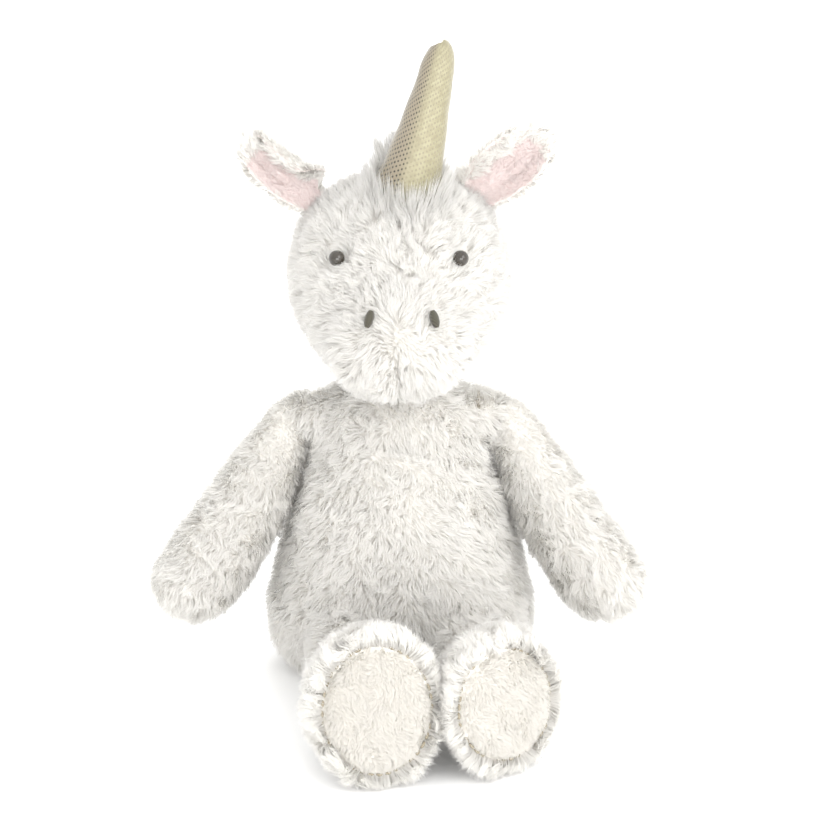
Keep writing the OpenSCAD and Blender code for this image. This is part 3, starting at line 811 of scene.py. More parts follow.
@dataclass
class Body:
    """The seated body: a pear-shaped bag of four plush panels."""

    finishes: Finishes
    inset: float = 4.6
    base_round: float = 14.0
    belly: tuple[float, float, float] = (27.0, 64.5, 52.0)
    waist: tuple[float, float, float] = (81.5, 51.0, 43.5)
    chest: tuple[float, float, float] = (104.0, 42.0, 34.5)
    shoulders: tuple[float, float, float] = (124.0, 36.0, 31.0)
    collar: tuple[float, float, float] = (133.0, 29.0, 26.0)
    neck: tuple[float, float] = (134.0, 22.5)
    shoulder: tuple[float, float, float] = (49.0, 1.0, 121.0)
    hips: tuple[tuple[float, float, float], ...] = ((-26.5, -59.5, 18.5), (26.5, -52.5, 18.5))
    pile: Pile = field(default_factory=lambda: Pile(per_mm2=3.15, width=0.42))
    base_pile: Pile = field(default_factory=lambda: Pile(length=5.5, per_mm2=1.1, lie=60))

    def rings(self) -> list[Matrix]:
        """The body's rings from its base to the top of the neck."""
        inset, turn = self.inset, self.base_round - self.inset
        rows = []
        for angle in (0, 30, 60, 90):
            in_by = turn * (1 - math.sin(math.radians(angle)))
            rows.append((inset + turn * (1 - math.cos(math.radians(angle))),
                         self.belly[1] - 3 - inset - in_by, self.belly[2] - 3 - inset - in_by))
        for z, width, depth in (self.belly, self.waist, self.chest, self.shoulders, self.collar):
            rows.append((z, width - inset, depth - inset))
        middle, radius = self.neck[0], self.neck[1] - inset
        for angle in (15, 40, 65, 85):
            across = radius * math.cos(math.radians(angle))
            rows.append((middle + radius * math.sin(math.radians(angle)), across, across))
        return [ring((0, 0, z), width, depth) for z, width, depth in rows]

    def form(self) -> bpy.types.Object:
        """Builds and fills the body with the stubs its limbs are sewn to."""
        bm = bmesh.new()
        loft(bm, self.rings(), 32)
        x, y, z = self.shoulder
        for side in (-1, 1):
            stub = [ring((side * (x + dx), y, z + dz), r, r, (0, 1, 0), (0, 0, 1))
                    for dx, dz, r in ((-30, -2, 11), (-20, -2, 12), (-10, -1.5, 10.5), (-3, -1, 9),
                                      (2, 0, 7.5), (5, 0, 4))]
            loft(bm, stub, 16)
        for hip_x, hip_y, hip_z in self.hips:
            stub = [ring((hip_x, hip_y + dy, hip_z + dz), r, r, (1, 0, 0), (0, 0, 1))
                    for dy, dz, r in ((30, 3, 12), (14, 2, 14), (4, 0.5, 11.5), (-4, 0, 9.5), (-8, 0, 4))]
            loft(bm, stub, 16)
        obj = new_piece("body_padding", bm)
        Stuffing().fill(obj, lambda p: np.maximum(bell(p[:, 0], 0.004) * (p[:, 1] > 0),
                                                  bell(p[:, 1], 0.004) * (p[:, 2] > 0.02)))
        self.crease(obj)
        return obj

    def crease(self, obj: bpy.types.Object) -> None:
        """Folds the chest a little where the sitting toy slumps."""
        places = coords(obj)
        front = np.clip(-places[:, 1] / 0.03, 0, 1)
        fold = bell(places[:, 2] - 0.087 - 0.12 * places[:, 0], 0.0035) * bell(places[:, 0] + 0.018, 0.02)
        slump = bell(places[:, 2] - 0.112, 0.004) * bell(places[:, 0], 0.03)
        places[:, 1] += front * (1.6 * fold + 1.2 * slump) * MM
        set_coords(obj, places)

    def comb(self, points: Array) -> Array:
        """The pile is brushed down and outwards."""
        flow = np.zeros_like(points)
        flow[:, 2] = -1.0
        flow[:, 0] = points[:, 0] * 6
        return flow

    def build(self) -> None:
        """Makes the form and the pile of each panel."""
        obj = self.form()
        dress(obj, "body", "body_stuffing", self.finishes.backing)
        skin = Skin(obj)

        def side_share(points: Array, normals: Array) -> Array:
            """1 on the sides of the body, 0 underneath."""
            return ((normals[:, 2] > -0.75) | (points[:, 2] > 0.02)).astype(float)

        panels = {
            "body_front_panel": lambda p, n: (p[:, 1] < 0) * side_share(p, n),
            "body_back_left_panel": lambda p, n: (p[:, 1] >= 0) * (p[:, 0] < 0) * side_share(p, n),
            "body_back_right_panel": lambda p, n: (p[:, 1] >= 0) * (p[:, 0] >= 0) * side_share(p, n),
        }
        for seed, (name, keep) in enumerate(panels.items(), 100):
            piece = self.pile.grow(name + "_pile", skin, self.finishes.white_pile, self.comb, keep, seed)
            dress(piece, "body", name)
        base = self.base_pile.grow("base_panel_pile", skin, self.finishes.white_pile, self.comb,
                                   lambda p, n: 1 - side_share(p, n), 110)
        dress(base, "body", "base_panel")


# ---- Head ----------------------------------------------------------------


@dataclass
class Head:
    """The round head with its long soft muzzle, eyes, nostrils and mane."""

    finishes: Finishes
    inset: float = 5.0
    middle: float = 188.0
    half_w: float = 50.5
    half_h: float = 46.5
    back: float = 44.0
    brow: float = -42.0
    muzzle_out: float = 34.0
    muzzle_w: float = 34.5
    muzzle_h: float = 26.5
    muzzle_z: float = 167.0
    eye: tuple[float, float, float] = (27.0, -41.9, 204.0)
    nostril: tuple[float, float, float] = (14.5, -70.8, 182.0)
    horn: tuple[float, float, float] = (3.0, -14.0, 227.4)
    pile: Pile = field(default_factory=lambda: Pile(length=8.2, per_mm2=5.0))
    muzzle_pile: Pile = field(default_factory=lambda: Pile(length=7.6, per_mm2=6.0, tuft=2.8))
    mane_pile: Pile = field(default_factory=lambda: Pile(length=23, per_mm2=6.0, width=0.5, tuft=3.6,
                                                         gather=0.72, lie=8, stray=16))

    def rings(self) -> list[Matrix]:
        """The head's rings from its back to the tip of the muzzle."""
        w, h, mw, mh, mz = self.half_w, self.half_h, self.muzzle_w, self.muzzle_h, self.muzzle_z
        back, tip = self.back, self.brow - self.muzzle_out
        rows = [
            (back, w * 0.14, h * 0.14, self.middle), (back - 3, w * 0.5, h * 0.5, self.middle),
            (back - 13, w * 0.8, h * 0.8, self.middle + 0.5), (back - 32, w * 0.98, h * 0.98, self.middle + 1),
            (-8, w, h, self.middle), (-26, w * 0.93, h * 0.92, self.middle - 4),
            (self.brow, mw + 5, mh + 9, mz + 11), (self.brow - self.muzzle_out * 0.38, mw, mh + 1, mz + 1),
            (self.brow - self.muzzle_out * 0.68, mw * 0.9, mh * 0.88, mz),
            (self.brow - self.muzzle_out * 0.92, mw * 0.58, mh * 0.6, mz),
            (tip, mw * 0.16, mh * 0.16, mz)]
        centre = (back + tip) / 2
        shrink = (back - tip - 2 * self.inset) / (back - tip)
        return [ring((0, centre + (y - centre) * shrink, z), max(a - self.inset, 1),
                     max(b - self.inset, 1), (1, 0, 0), (0, 0, 1))
                for y, a, b, z in smooth_rows(rows)]

    def form(self) -> bpy.types.Object:
        """Builds and fills the head, drawn in where its panels meet."""
        bm = bmesh.new()
        loft(bm, self.rings(), 32)
        obj = new_piece("head_padding", bm)
        seam_y = (self.brow - 6) * MM
        Stuffing().fill(obj, lambda p: np.maximum(bell(p[:, 0], 0.0035) * (p[:, 1] > seam_y),
                                                  0.8 * bell(p[:, 1] - seam_y, 0.0035)))
        self.sculpt(obj)
        return obj

    def sculpt(self, obj: bpy.types.Object) -> None:
        """Draws in the mouth crease, the nostrils and the eye sockets."""
        places = coords(obj)
        front = np.clip((-places[:, 1] - 0.05) / 0.012, 0, 1)
        low = bell(places[:, 2] - 0.158, 0.016)
        line = places[:, 0] + 0.0024 - 0.2 * (0.176 - places[:, 2])
        depth = 2.8 * front * low * bell(line, 0.004)
        for side in (-1, 1):
            for spot, much, wide in ((self.nostril, 1.2, 0.006), (self.eye, 0.6, 0.008)):
                away = places - np.array((side * spot[0], spot[1] + 5, spot[2])) * MM
                depth += much * bell(np.linalg.norm(away, axis=1), wide)
        set_coords(obj, places - normals_of(obj) * depth[:, None] * MM)

    def comb(self, points: Array) -> Array:
        """The pile is brushed from the nose back over the head, and down."""
        flow = points - np.array((0, -0.075, 0.176))
        flow = unit(flow)
        flow[:, 2] -= 0.35
        for side in (-1, 1):
            away = points - np.array((side * self.eye[0], self.eye[1], self.eye[2])) * MM
            near = bell(np.linalg.norm(away, axis=1), 0.0052)
            flow[:, 0] -= 3.0 * near * np.sign(away[:, 0])
            flow[:, 2] -= 1.2 * near * np.sign(away[:, 2])
        crease = bell(points[:, 0] + 0.001, 0.006) * (points[:, 1] < -0.05) * (points[:, 2] < 0.175)
        flow[:, 0] += 1.2 * crease * np.sign(points[:, 0] + 0.001)
        return flow

    def clear(self, points: Array) -> Array:
        """0 where an eye, a nostril or the horn stands, 1 elsewhere."""
        share = np.ones(len(points))
        for side in (-1, 1):
            for spot, size in ((self.eye, 2.5), (self.nostril, 1.0)):
                shift = 1.5 if spot is self.nostril else 0.0
                away = (points - np.array((side * spot[0] + shift, spot[1], spot[2] + 1.7 * shift)) * MM) / MM
                flat = np.hypot(away[:, 0], away[:, 2] * (0.62 if spot is self.nostril else 1.0))
                share[(flat < size) & (points[:, 1] < -0.02)] = 0
        away = points[:, :2] - np.array(self.horn[:2]) * MM
        share[(np.linalg.norm(away, axis=1) < 0.0125) & (points[:, 2] > 0.2)] = 0
        return share

    def trim(self, points: Array) -> Array:
        """The pile is shorter round the nostrils and longer round the horn."""
        share = np.ones(len(points))
        for side in (-1, 1):
            away = np.linalg.norm(points - np.array((side * self.nostril[0], self.nostril[1] + 5,
                                                     self.nostril[2])) * MM, axis=1)
            share -= 0.25 * bell(away, 0.008)
        away = np.linalg.norm(points[:, :2] - np.array(self.horn[:2]) * MM, axis=1)
        share += 1.6 * bell(np.maximum(away - 0.0125, 0), 0.0045) * (points[:, 2] > 0.2)
        return np.clip(share, 0.4, 2.6)

    def lift(self, points: Array) -> Array:
        """The pile stands up where the horn, the eyes and the ears hold it."""
        away = np.linalg.norm(points[:, :2] - np.array(self.horn[:2]) * MM, axis=1)
        lift = 0.95 * bell(np.maximum(away - 0.0125, 0), 0.0055) * (points[:, 2] > 0.2)
        for side in (-1, 1):
            eye = np.array((side * self.eye[0], self.eye[1], self.eye[2])) * MM
            ear = np.array((side * 35.0, 2.0, 219.0)) * MM
            lift += 0.55 * bell(np.linalg.norm(points - eye, axis=1), 0.0052)
            lift += 0.7 * bell(np.linalg.norm(points - ear, axis=1), 0.014)
        return np.minimum(lift, 0.95)

    def build(self) -> None:
        """Makes the form, the pile of each panel and the stitched face."""
        obj = self.form()
        dress(obj, "head", "head_stuffing", self.finishes.backing)
        skin = Skin(obj)
        seam = (self.brow - 6) * MM
        panels = {
            "head_left_panel": (self.pile, lambda p: (p[:, 1] >= seam) & (p[:, 0] < 0)),
            "head_right_panel": (self.pile, lambda p: (p[:, 1] >= seam) & (p[:, 0] >= 0)),
            "muzzle_panel": (self.muzzle_pile, lambda p: p[:, 1] < seam),
        }
        for seed, (name, (pile, where)) in enumerate(panels.items(), 200):
            piece = pile.grow(name + "_pile", skin, self.finishes.white_pile, self.comb,
                              lambda p, n, where=where: where(p) * self.clear(p), seed, self.trim,
                              self.lift)
            dress(piece, "head", name)
        self.mane(skin)
        for side in Side:
            self.stitch_nostril(side)

    def mane(self, skin: Skin) -> None:
        """A tuft of long pile from behind the horn down the back of the head."""

        def strip(points: Array, normals: Array) -> Array:
            """1 on the mane's narrow strip."""
            behind = (points[:, 1] > 0.002) & (points[:, 2] > 0.188)
            return behind * (np.abs(points[:, 0] + 0.001) < 0.0075)

        def upward(points: Array) -> Array:
            """The mane stands up and falls back."""
            return np.tile((0.0, 1.0, 0.4), (len(points), 1))

        piece = self.mane_pile.grow("mane_pile", skin, self.finishes.white_pile, upward, strip, 230,
                                    lambda p: np.clip((p[:, 2] - 0.185) / 0.045, 0.4, 1))
        dress(piece, "head", "mane")

    def stitch_nostril(self, side: Side) -> None:
        """Satin-stitches one nostril as threads laid side by side."""
        low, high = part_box(f"nostril_{side.word}")
        centre = (low + high) / 2
        out = Vector((0.1 * side.value, -1.0, 0.28)).normalized()
        turn = Matrix.Rotation(math.radians(14 * side.value), 4, out)
        up = turn @ Vector((0, 0, 1))
        across = out.cross(up).normalized()
        up = across.cross(out).normalized()
        bm = bmesh.new()
        count = 15
        path = ((-1.0, -1.6), (-0.85, 0.2), (-0.45, 1.0), (0.0, 1.25), (0.45, 1.0), (0.85, 0.2), (1.0, -1.6))
        for i in range(count):
            t = (i + 0.5) / count * 2 - 1
            half = 1.8 * math.sqrt(1 - t * t * 0.92)
            rings = []
            for k, (a, b) in enumerate(path):
                ahead, behind = path[min(k + 1, len(path) - 1)], path[max(k - 1, 0)]
                run = (across * (ahead[0] - behind[0]) * half + out * (ahead[1] - behind[1])).normalized()
                place = (centre / MM + Vector((1.5, 0, 2.6)) + up * t * 3.7 + across * a * half
                         + out * (b * (1 - 0.3 * t * t) - 2.4))
                rings.append(ring(place, 0.34, 0.34, up, run.cross(up)))
            loft(bm, rings, 8)
        piece = new_piece(f"nostril_{side.word}_stitches", bm)
        dress(piece, "head", f"nostril_{side.word}", self.finishes.nostril)


# ---- Horn ----------------------------------------------------------------


@dataclass
class Horn:
    """The stuffed fabric horn, gathered a little at its base."""

    finishes: Finishes
    place: tuple[float, float, float] = (3.0, -14.0, 227.45)
    length: float = 68.5
    base_r: float = 14.5
    top_r: float = 7.8
    dome: float = 51.0
    root: float = 4.0
    lean: float = 13.0
    back: float = 5.0
    sides: int = 64

    def radius(self, height: float) -> float:
        """The horn's radius at a height above its place.

        Args:
            height: distance along the horn, in mm.

        Returns:
            The radius in mm.
        """
        if height > self.dome:
            left = 1 - ((height - self.dome) / (self.length - self.dome)) ** 2
            return max(self.top_r * math.sqrt(max(left, 0.0)), 0.25)
        if height < self.root:
            return max(math.sqrt(max(self.base_r ** 2 - (height - self.root) ** 2, 0.0)), 0.3)
        share = (height - self.root) / (self.dome - self.root)
        return self.base_r + (self.top_r - self.base_r) * share ** 0.85

    def build(self) -> None:
        """Makes the cover with its gathers, seam ridge and cloth map."""
        heights = [self.root - self.base_r * math.cos(math.radians(a)) for a in range(4, 88, 12)]
        heights += list(np.linspace(self.root, self.dome, 36))
        heights += [self.dome + (self.length - self.dome) * math.sin(math.radians(a))
                    for a in (12, 24, 36, 48, 60, 72, 81, 87)]
        bm = bmesh.new()
        loft(bm, [ring((0, 0, h), self.radius(h), self.radius(h)) for h in heights], self.sides)
        for vert in bm.verts:
            height = vert.co.z / MM
            angle = math.atan2(vert.co.y, vert.co.x)
            span = max(0.0, min(1.0, height / self.length))
            low = math.exp(-((height - 5) / 7) ** 2)
            gathers = 0.35 * low * math.sin(13 * angle + 0.7 * math.sin(3 * angle))
            lumps = 0.35 * math.sin(2 * angle + height * 0.13) * math.sin(height * 0.21 + angle)
            seam = -0.45 * math.exp(-(((angle - 2.2 + math.pi) % (2 * math.pi) - math.pi) / 0.07) ** 2)
            out = Vector((vert.co.x, vert.co.y, 0))
            if out.length > 1e-6:
                calm = min(1.0, out.length / MM / 6)
                vert.co += out.normalized() * (gathers + (lumps + seam) * (1 - span * 0.5)) * calm * MM
            vert.co.x += (1.0 * math.sin(math.pi * span) + 1.4 * span ** 2) * MM
        layer = bm.loops.layers.uv.new("Cloth")
        for face in bm.faces:
            turn = [math.atan2(loop.vert.co.y, loop.vert.co.x) for loop in face.loops]
            for loop, angle in zip(face.loops, turn):
                if max(turn) - min(turn) > math.pi and angle < 0:
                    angle += 2 * math.pi
                loop[layer].uv = (angle * self.base_r * 0.72, loop.vert.co.z / MM)
        matrix = (Matrix.Translation(Vector(self.place) * MM)
                  @ Matrix.Rotation(math.radians(self.lean), 4, "Y")
                  @ Matrix.Rotation(math.radians(-self.back), 4, "X"))
        bmesh.ops.transform(bm, matrix=matrix, verts=bm.verts)
        piece = new_piece("horn_cover_cloth", bm)
        dress(piece, "horn", "horn_cover", self.finishes.horn)


# ---- Ears ----------------------------------------------------------------


class EarSet(Enum):
    """How an ear has settled: open, or with its upper edge rolled forwards."""

    OPEN = 0
    ROLLED = 1


@dataclass
class Ear:
    """A lined ear: a plush back and a pink lining in a furry rim."""

    finishes: Finishes
    side: Side
    settled: EarSet
    place: tuple[float, float, float]
    length: float = 44.0
    width: float = 31.0
    inset: float = 4.0
    cup: float = 6.0
    up: float = 37.0
    turn: float = 12.0
    lining_up: float = 5.0
    lining_down: float = 3.2
    lining_tip: float = 9.0
    pile: Pile = field(default_factory=lambda: Pile(length=6.6, per_mm2=7.0, width=0.32, tuft=2.2, lie=46,
                                                    gather=0.15, stray=8))
    lining: Pile = field(default_factory=lambda: Pile(length=2.4, per_mm2=14, width=0.3, tuft=1.8, lie=50,
                                                      gather=0.25))

    def frame(self) -> Matrix:
        """The ear's frame: +Z along it from the root, -Y in front."""
        mirror = Matrix.Diagonal((-1, 1, 1, 1)) if self.side is Side.LEFT else Matrix.Identity(4)
        return (mirror @ Matrix.Translation(Vector(self.place) * MM)
                @ Matrix.Rotation(math.radians(90 - self.up), 4, "Y")
                @ Matrix.Rotation(math.radians(-self.turn), 4, "Z"))

    def form(self) -> tuple[bpy.types.Object, Array]:
        """Builds the ear's thin padded leaf, cupped and settled.

        Returns:
            The leaf, and 1 for each vertex on its lined front.
        """
        long = self.length
        rows = smooth_rows([(-12, 0.22), (-3, 0.34), (0, 0.38), (0.3 * long, 0.47), (0.62 * long, 0.46),
                            (0.84 * long, 0.36), (0.95 * long, 0.2), (0.985 * long, 0.07)])
        bm = bmesh.new()
        loft(bm, [ring((0, 0, z - 2 * z / long), max(share * self.width - self.inset * 0.55, 1), 1.5)
                  for z, share in rows], 40)
        obj = new_piece(f"ear_{self.side.word}_padding", bm)
        refine(obj)
        places = coords(obj) / MM
        half = np.interp(places[:, 2], [r[0] for r in rows], [r[1] * self.width for r in rows])
        inner = (places[:, 0] > -self.lining_up) & (places[:, 0] < half - self.lining_down)
        lined = (places[:, 1] < 0) & inner & (places[:, 2] < long - self.lining_tip)
        cupping = self.cup * np.clip(places[:, 2] / (0.4 * long), 0, 1)
        places[:, 1] -= cupping * (places[:, 0] / np.maximum(half, 2)) ** 2
        crease = np.hypot(places[:, 0] - 3, (places[:, 2] - 21) * 0.35)
        places[:, 1] += 1.3 * bell(crease - 2.5, 1.2)
        if self.settled is EarSet.ROLLED:
            self.roll(places)
        set_coords(obj, places * MM)
        obj.data.transform(self.frame())
        if self.side is Side.LEFT:
            obj.data.flip_normals()
        obj.data.update()
        return obj, lined.astype(float)

    @staticmethod
    def roll(places: Array, crease: float = 1.0, radius: float = 3.8) -> None:
        """Folds the upper edge forwards over the lining, less at the ends.

        Args:
            places: the ear's places in its own frame, in mm, which are moved.
            crease: how far above the ear's middle the fold begins.
            radius: the fold's radius.
        """
        past = np.maximum(-places[:, 0] - crease, 0)
        along = places[:, 2]
        amount = np.clip((along - 3) / 12, 0, 1) * np.clip((47 - along) / 12, 0.3, 1)
        angle = np.minimum(past / radius, math.pi) * amount
        straight = np.maximum(past - math.pi * radius, 0)
        arc = np.maximum(past - straight, 1e-6)
        bend = arc / np.maximum(angle, 1e-4)
        deep = places[:, 1] * 0.6
        rolled = past > 0
        x = -crease - bend * np.sin(angle) - straight * np.cos(angle) - deep * np.sin(angle) * 0.3
        y = deep * np.cos(angle) - bend * (1 - np.cos(angle)) - straight * np.sin(angle)
        places[rolled, 0] = x[rolled]
        places[rolled, 1] = y[rolled]

    def comb(self, points: Array) -> Array:
        """The pile is brushed from the root to the tip."""
        tip = np.array(self.frame() @ Vector((0, 0, 1))) - np.array(self.frame() @ Vector((0, 0, 0)))
        flow = np.tile(tip, (len(points), 1))
        flow[:, 2] -= 0.15
        return flow

    def build(self) -> None:
        """Makes the leaf, its white pile and its pink lining."""
        obj, lined = self.form()
        body = f"ear_{self.side.word}"
        dress(obj, body, None, self.finishes.pink_backing)
        seed = 300 + 10 * self.side.value
        back = self.pile.grow(f"{body}_back_pile", Skin(obj, 1 - lined), self.finishes.white_pile,
                              self.comb, everywhere, seed)
        front = self.lining.grow(f"{body}_lining_pile", Skin(obj, lined), self.finishes.pink_pile,
                                 self.comb, everywhere, seed + 3)
        dress(back, body, f"{body}_back")
        dress(front, body, f"{body}_lining")


# ---- Arms ----------------------------------------------------------------


@dataclass
class Arm:
    """A flipper arm of two panels, fuller towards the hand."""

    finishes: Finishes
    side: Side
    shoulder: tuple[float, float, float] = (49.0, 1.0, 121.0)
    inset: float = 3.6
    length: float = 110.0
    root_r: float = 14.5
    hand_w: float = 42.0
    hand_t: float = 37.0
    out: float = 32.8
    forward: float = 14.0
    hang: float = 3.6
    pile: Pile = field(default_factory=Pile)

    def frame(self) -> Matrix:
        """The arm's frame: the shoulder at the origin, -Z down the arm."""
        x, y, z = self.shoulder
        return (Matrix.Translation(Vector((self.side.value * x, y, z)) * MM)
                @ Matrix.Rotation(math.radians(-self.side.value * self.out), 4, "Y")
                @ Matrix.Rotation(math.radians(-self.forward), 4, "X"))

    def form(self) -> bpy.types.Object:
        """Builds and fills the arm."""
        r, w, t = self.root_r - self.inset, self.hand_w / 2 - self.inset, self.hand_t / 2 - self.inset
        end = self.length - self.inset
        ball = r - 1.6
        rows = [(ball * math.sin(math.radians(a)), ball * math.cos(math.radians(a)),
                 ball * math.cos(math.radians(a))) for a in (-85, -60, -30, 0)]
        rows += smooth_rows([(self.length * 0.13, r + 1.2, r), (self.length * 0.27, r + 3.6, r + 1.5),
                             (self.length * 0.52, (r + w) / 2 + 2.2, (r + t) / 2 + 1.2),
                             (self.length * 0.72, w, t), (self.length * 0.86, w * 0.93, t * 0.93),
                             (end - self.length * 0.04, w * 0.62, t * 0.62), (end, w * 0.2, t * 0.2)])
        bm = bmesh.new()
        inward = -self.side.value * self.hang
        loft(bm, [ring((inward * math.sin(math.pi * z / self.length) if z > 0 else 0, 0, -z), a, b)
                  for z, a, b in rows], 24)
        bmesh.ops.transform(bm, matrix=self.frame(), verts=bm.verts)
        obj = new_piece(f"arm_{self.side.word}_padding", bm)
        local = inside(self.frame())
        Stuffing(swell=3.5).fill(obj, lambda p: bell(local(p)[:, 1], 0.003))
        return obj

    def comb(self, points: Array) -> Array:
        """The pile is brushed down the arm and a little forwards."""
        down = np.array(self.frame().to_3x3() @ Vector((0, -0.25, -1)))
        return np.tile(down, (len(points), 1))

    def build(self) -> None:
        """Makes the form and the pile of its two panels."""
        obj = self.form()
        body = f"arm_{self.side.word}"
        dress(obj, body, f"{body}_stuffing", self.finishes.backing)
        skin, local = Skin(obj), inside(self.frame())
        shoulder = np.array((self.side.value * self.shoulder[0], *self.shoulder[1:])) * MM
        seed = 400 + 10 * self.side.value
        for name, sign in (("front", -1), ("back", 1)):
            piece = self.pile.grow(
                f"{body}_{name}_panel_pile", skin, self.finishes.white_pile, self.comb,
                lambda p, n, sign=sign: (local(p)[:, 1] * sign >= 0) * 1.0, seed + sign,
                lambda p: np.clip(0.5 + 16 * (np.linalg.norm(p - shoulder, axis=1) - 0.008), 0.5, 1))
            dress(piece, body, f"{body}_{name}_panel")


# ---- Legs ----------------------------------------------------------------


@dataclass
class Leg:
    """A leg that points forwards, closed by an oval sole pad."""

    finishes: Finishes
    side: Side
    hip: tuple[float, float, float]
    leg_turn: float
    sole_turn: float
    inset: float = 4.4
    foot_inset: float = 3.0
    length: float = 77.0
    root_r: float = 15.5
    foot_w: float = 57.0
    foot_h: float = 65.0
    sole_w: float = 46.0
    sole_h: float = 51.0
    lean: float = 12.0
    pile: Pile = field(default_factory=Pile)
    rim_pile: Pile = field(default_factory=lambda: Pile(length=10, per_mm2=10, width=0.32, lie=52, tuft=2.2,
                                                        gather=0.2, stray=8))
    pad_pile: Pile = field(default_factory=lambda: Pile(length=3.2, per_mm2=11, width=0.32, tuft=2.4,
                                                        gather=0.15, lie=40, stray=8))

    def frame(self) -> Matrix:
        """The leg's frame: the hip at the origin, -Y along the leg."""
        return (Matrix.Translation(Vector(self.hip) * MM)
                @ Matrix.Rotation(math.radians(self.leg_turn), 4, "Z"))

    def sole_frame(self) -> Matrix:
        """The sole's frame: +Z straight out of it, +Y up."""
        place = Vector((0, -self.length * 0.93, self.foot_h / 2 - self.hip[2])) * MM
        return (self.frame() @ Matrix.Translation(place)
                @ Matrix.Rotation(math.radians(self.sole_turn), 4, "Z")
                @ Matrix.Rotation(math.radians(90 - self.lean), 4, "X"))

    def ring(self, row: Sequence[float]) -> Matrix:
        """One ring of the leg, leaned and turned by its share.

        Args:
            row: distance, half width, half height, rise and share.

        Returns:
            The ring's frame.
        """
        distance, a, b, rise, share = row
        turn, lean = math.radians(self.sole_turn * share), math.radians(self.lean * share)
        return ring((0, -distance, rise), a, b, (math.cos(turn), math.sin(turn), 0),
                    (-math.sin(turn) * math.sin(lean), math.cos(turn) * math.sin(lean), math.cos(lean)))

    def form(self) -> bpy.types.Object:
        """Builds and fills the leg."""
        r = self.root_r - self.inset
        w, h = self.foot_w / 2 - self.foot_inset, self.foot_h / 2 - self.foot_inset
        rise, long = self.foot_h / 2 - self.hip[2], self.length
        rows = [(r * math.sin(math.radians(a)), r * math.cos(math.radians(a)),
                 r * math.cos(math.radians(a)), 0, 0) for a in (-85, -60, -30, 0)]
        rows += smooth_rows([(long * 0.30, r + 2, r + 2, rise * 0.15, 0.1),
                             (long * 0.55, (r + w) / 2 + 1, (r + h) / 2 + 1, rise * 0.5, 0.45),
                             (long * 0.78, w * 0.98, h * 0.96, rise * 0.95, 0.85),
                             (long * 0.92, w, h, rise, 1)])
        rows += [(long * 0.95, w * 0.95, h * 0.95, rise, 1), (long * 0.96, w * 0.8, h * 0.8, rise, 1)]
        bm = bmesh.new()
        loft(bm, [self.ring(row) for row in rows], 28)
        bmesh.ops.transform(bm, matrix=self.frame(), verts=bm.verts)
        obj = new_piece(f"leg_{self.side.word}_padding", bm)
        local = inside(self.frame())
        Stuffing(voxel=4.0, swell=2.5).fill(obj, lambda p: bell(local(p)[:, 2], 0.003))
        return obj

    def pad(self) -> bpy.types.Object:
        """Builds the crowned oval pad of the sole."""
        rows = ((-3.0, 0.9), (-1.0, 0.93), (0.5, 0.93), (2.2, 0.88), (3.6, 0.76), (4.6, 0.55), (5.2, 0.28))
        bm = bmesh.new()
        loft(bm, [ring((0, 0, z), share * self.sole_w / 2, share * self.sole_h / 2) for z, share in rows], 36)
        bmesh.ops.transform(bm, matrix=self.sole_frame(), verts=bm.verts)
        obj = new_piece(f"leg_{self.side.word}_sole_padding", bm)
        refine(obj, 2)
        return obj

    def stitches(self) -> bpy.types.Object:
        """Lays the stitches of the seam round the pad; their beige colour is painted shade of the recessed
        seam line.
        """
        bm = bmesh.new()
        count = 40
        for i in range(count):
            angle = 2 * math.pi * i / count
            a, b = self.sole_w / 2, self.sole_h / 2
            spot = Vector((a * math.cos(angle), b * math.sin(angle), 0.5 + 0.5 * math.sin(angle * 7)))
            run = Vector((-a * math.sin(angle), b * math.cos(angle), 0)).normalized()
            out = Vector((math.cos(angle), math.sin(angle), 0))
            rings = [ring(spot + run * t + Vector((0, 0, lift)), size, size, out, (0, 0, 1))
                     for t, size, lift in ((-1.6, 0.3, -0.3), (-1.0, 0.7, 0.1), (0.0, 0.8, 0.25),
                                           (1.0, 0.7, 0.1), (1.6, 0.3, -0.3))]
            loft(bm, rings, 6)
        bmesh.ops.transform(bm, matrix=self.sole_frame(), verts=bm.verts)
        return new_piece(f"leg_{self.side.word}_sole_stitches", bm)

    def build(self) -> None:
        """Makes the leg, its rim and its sole."""
        body = f"leg_{self.side.word}"
        obj = self.form()
        dress(obj, body, f"{body}_stuffing", self.finishes.backing)
        pad = self.pad()
        dress(pad, body, None, self.finishes.backing)
        dress(self.stitches(), body, None, self.finishes.beige)
        skin, pad_skin = Skin(obj), Skin(pad)
        to_sole, to_leg = inside(self.sole_frame()), inside(self.frame())
        outward = np.array(self.sole_frame().to_3x3())

        def local(points: Array) -> Array:
            """Places in the sole's frame, in mm."""
            return to_sole(points) / MM

        def reach(points: Array) -> Array:
            """1 at the pad's edge, more outside it."""
            at = local(points)
            return np.hypot(at[:, 0] / (self.sole_w / 2), at[:, 1] / (self.sole_h / 2))

        def on_rim(points: Array, normals: Array) -> Array:
            """1 on the front of the foot, outside the pad."""
            at = local(points)
            return ((at[:, 2] > -6) & (reach(points) > 0.96)).astype(float)

        def covered(points: Array) -> Array:
            """1 behind the pad, where no pile grows."""
            at = local(points)
            return ((at[:, 2] > -6) & (reach(points) <= 0.96)).astype(float)

        def radial(points: Array) -> Array:
            """Outward from the pad's middle and forwards."""
            at = local(points)
            at[:, 2] = 0.0
            flow = unit(at / np.array((self.sole_w, self.sole_h, 1.0)))
            flow[:, 2] = 0.15
            return flow @ outward.T

        def down_pad(points: Array) -> Array:
            """The pad's pile is brushed down it."""
            return np.tile(outward @ np.array((0.25, -1.0, 0.0)), (len(points), 1))

        def down_leg(points: Array) -> Array:
            """The leg's pile is brushed towards the foot and down."""
            return np.tile(np.array(self.frame().to_3x3() @ Vector((0, -1.0, -0.45))), (len(points), 1))

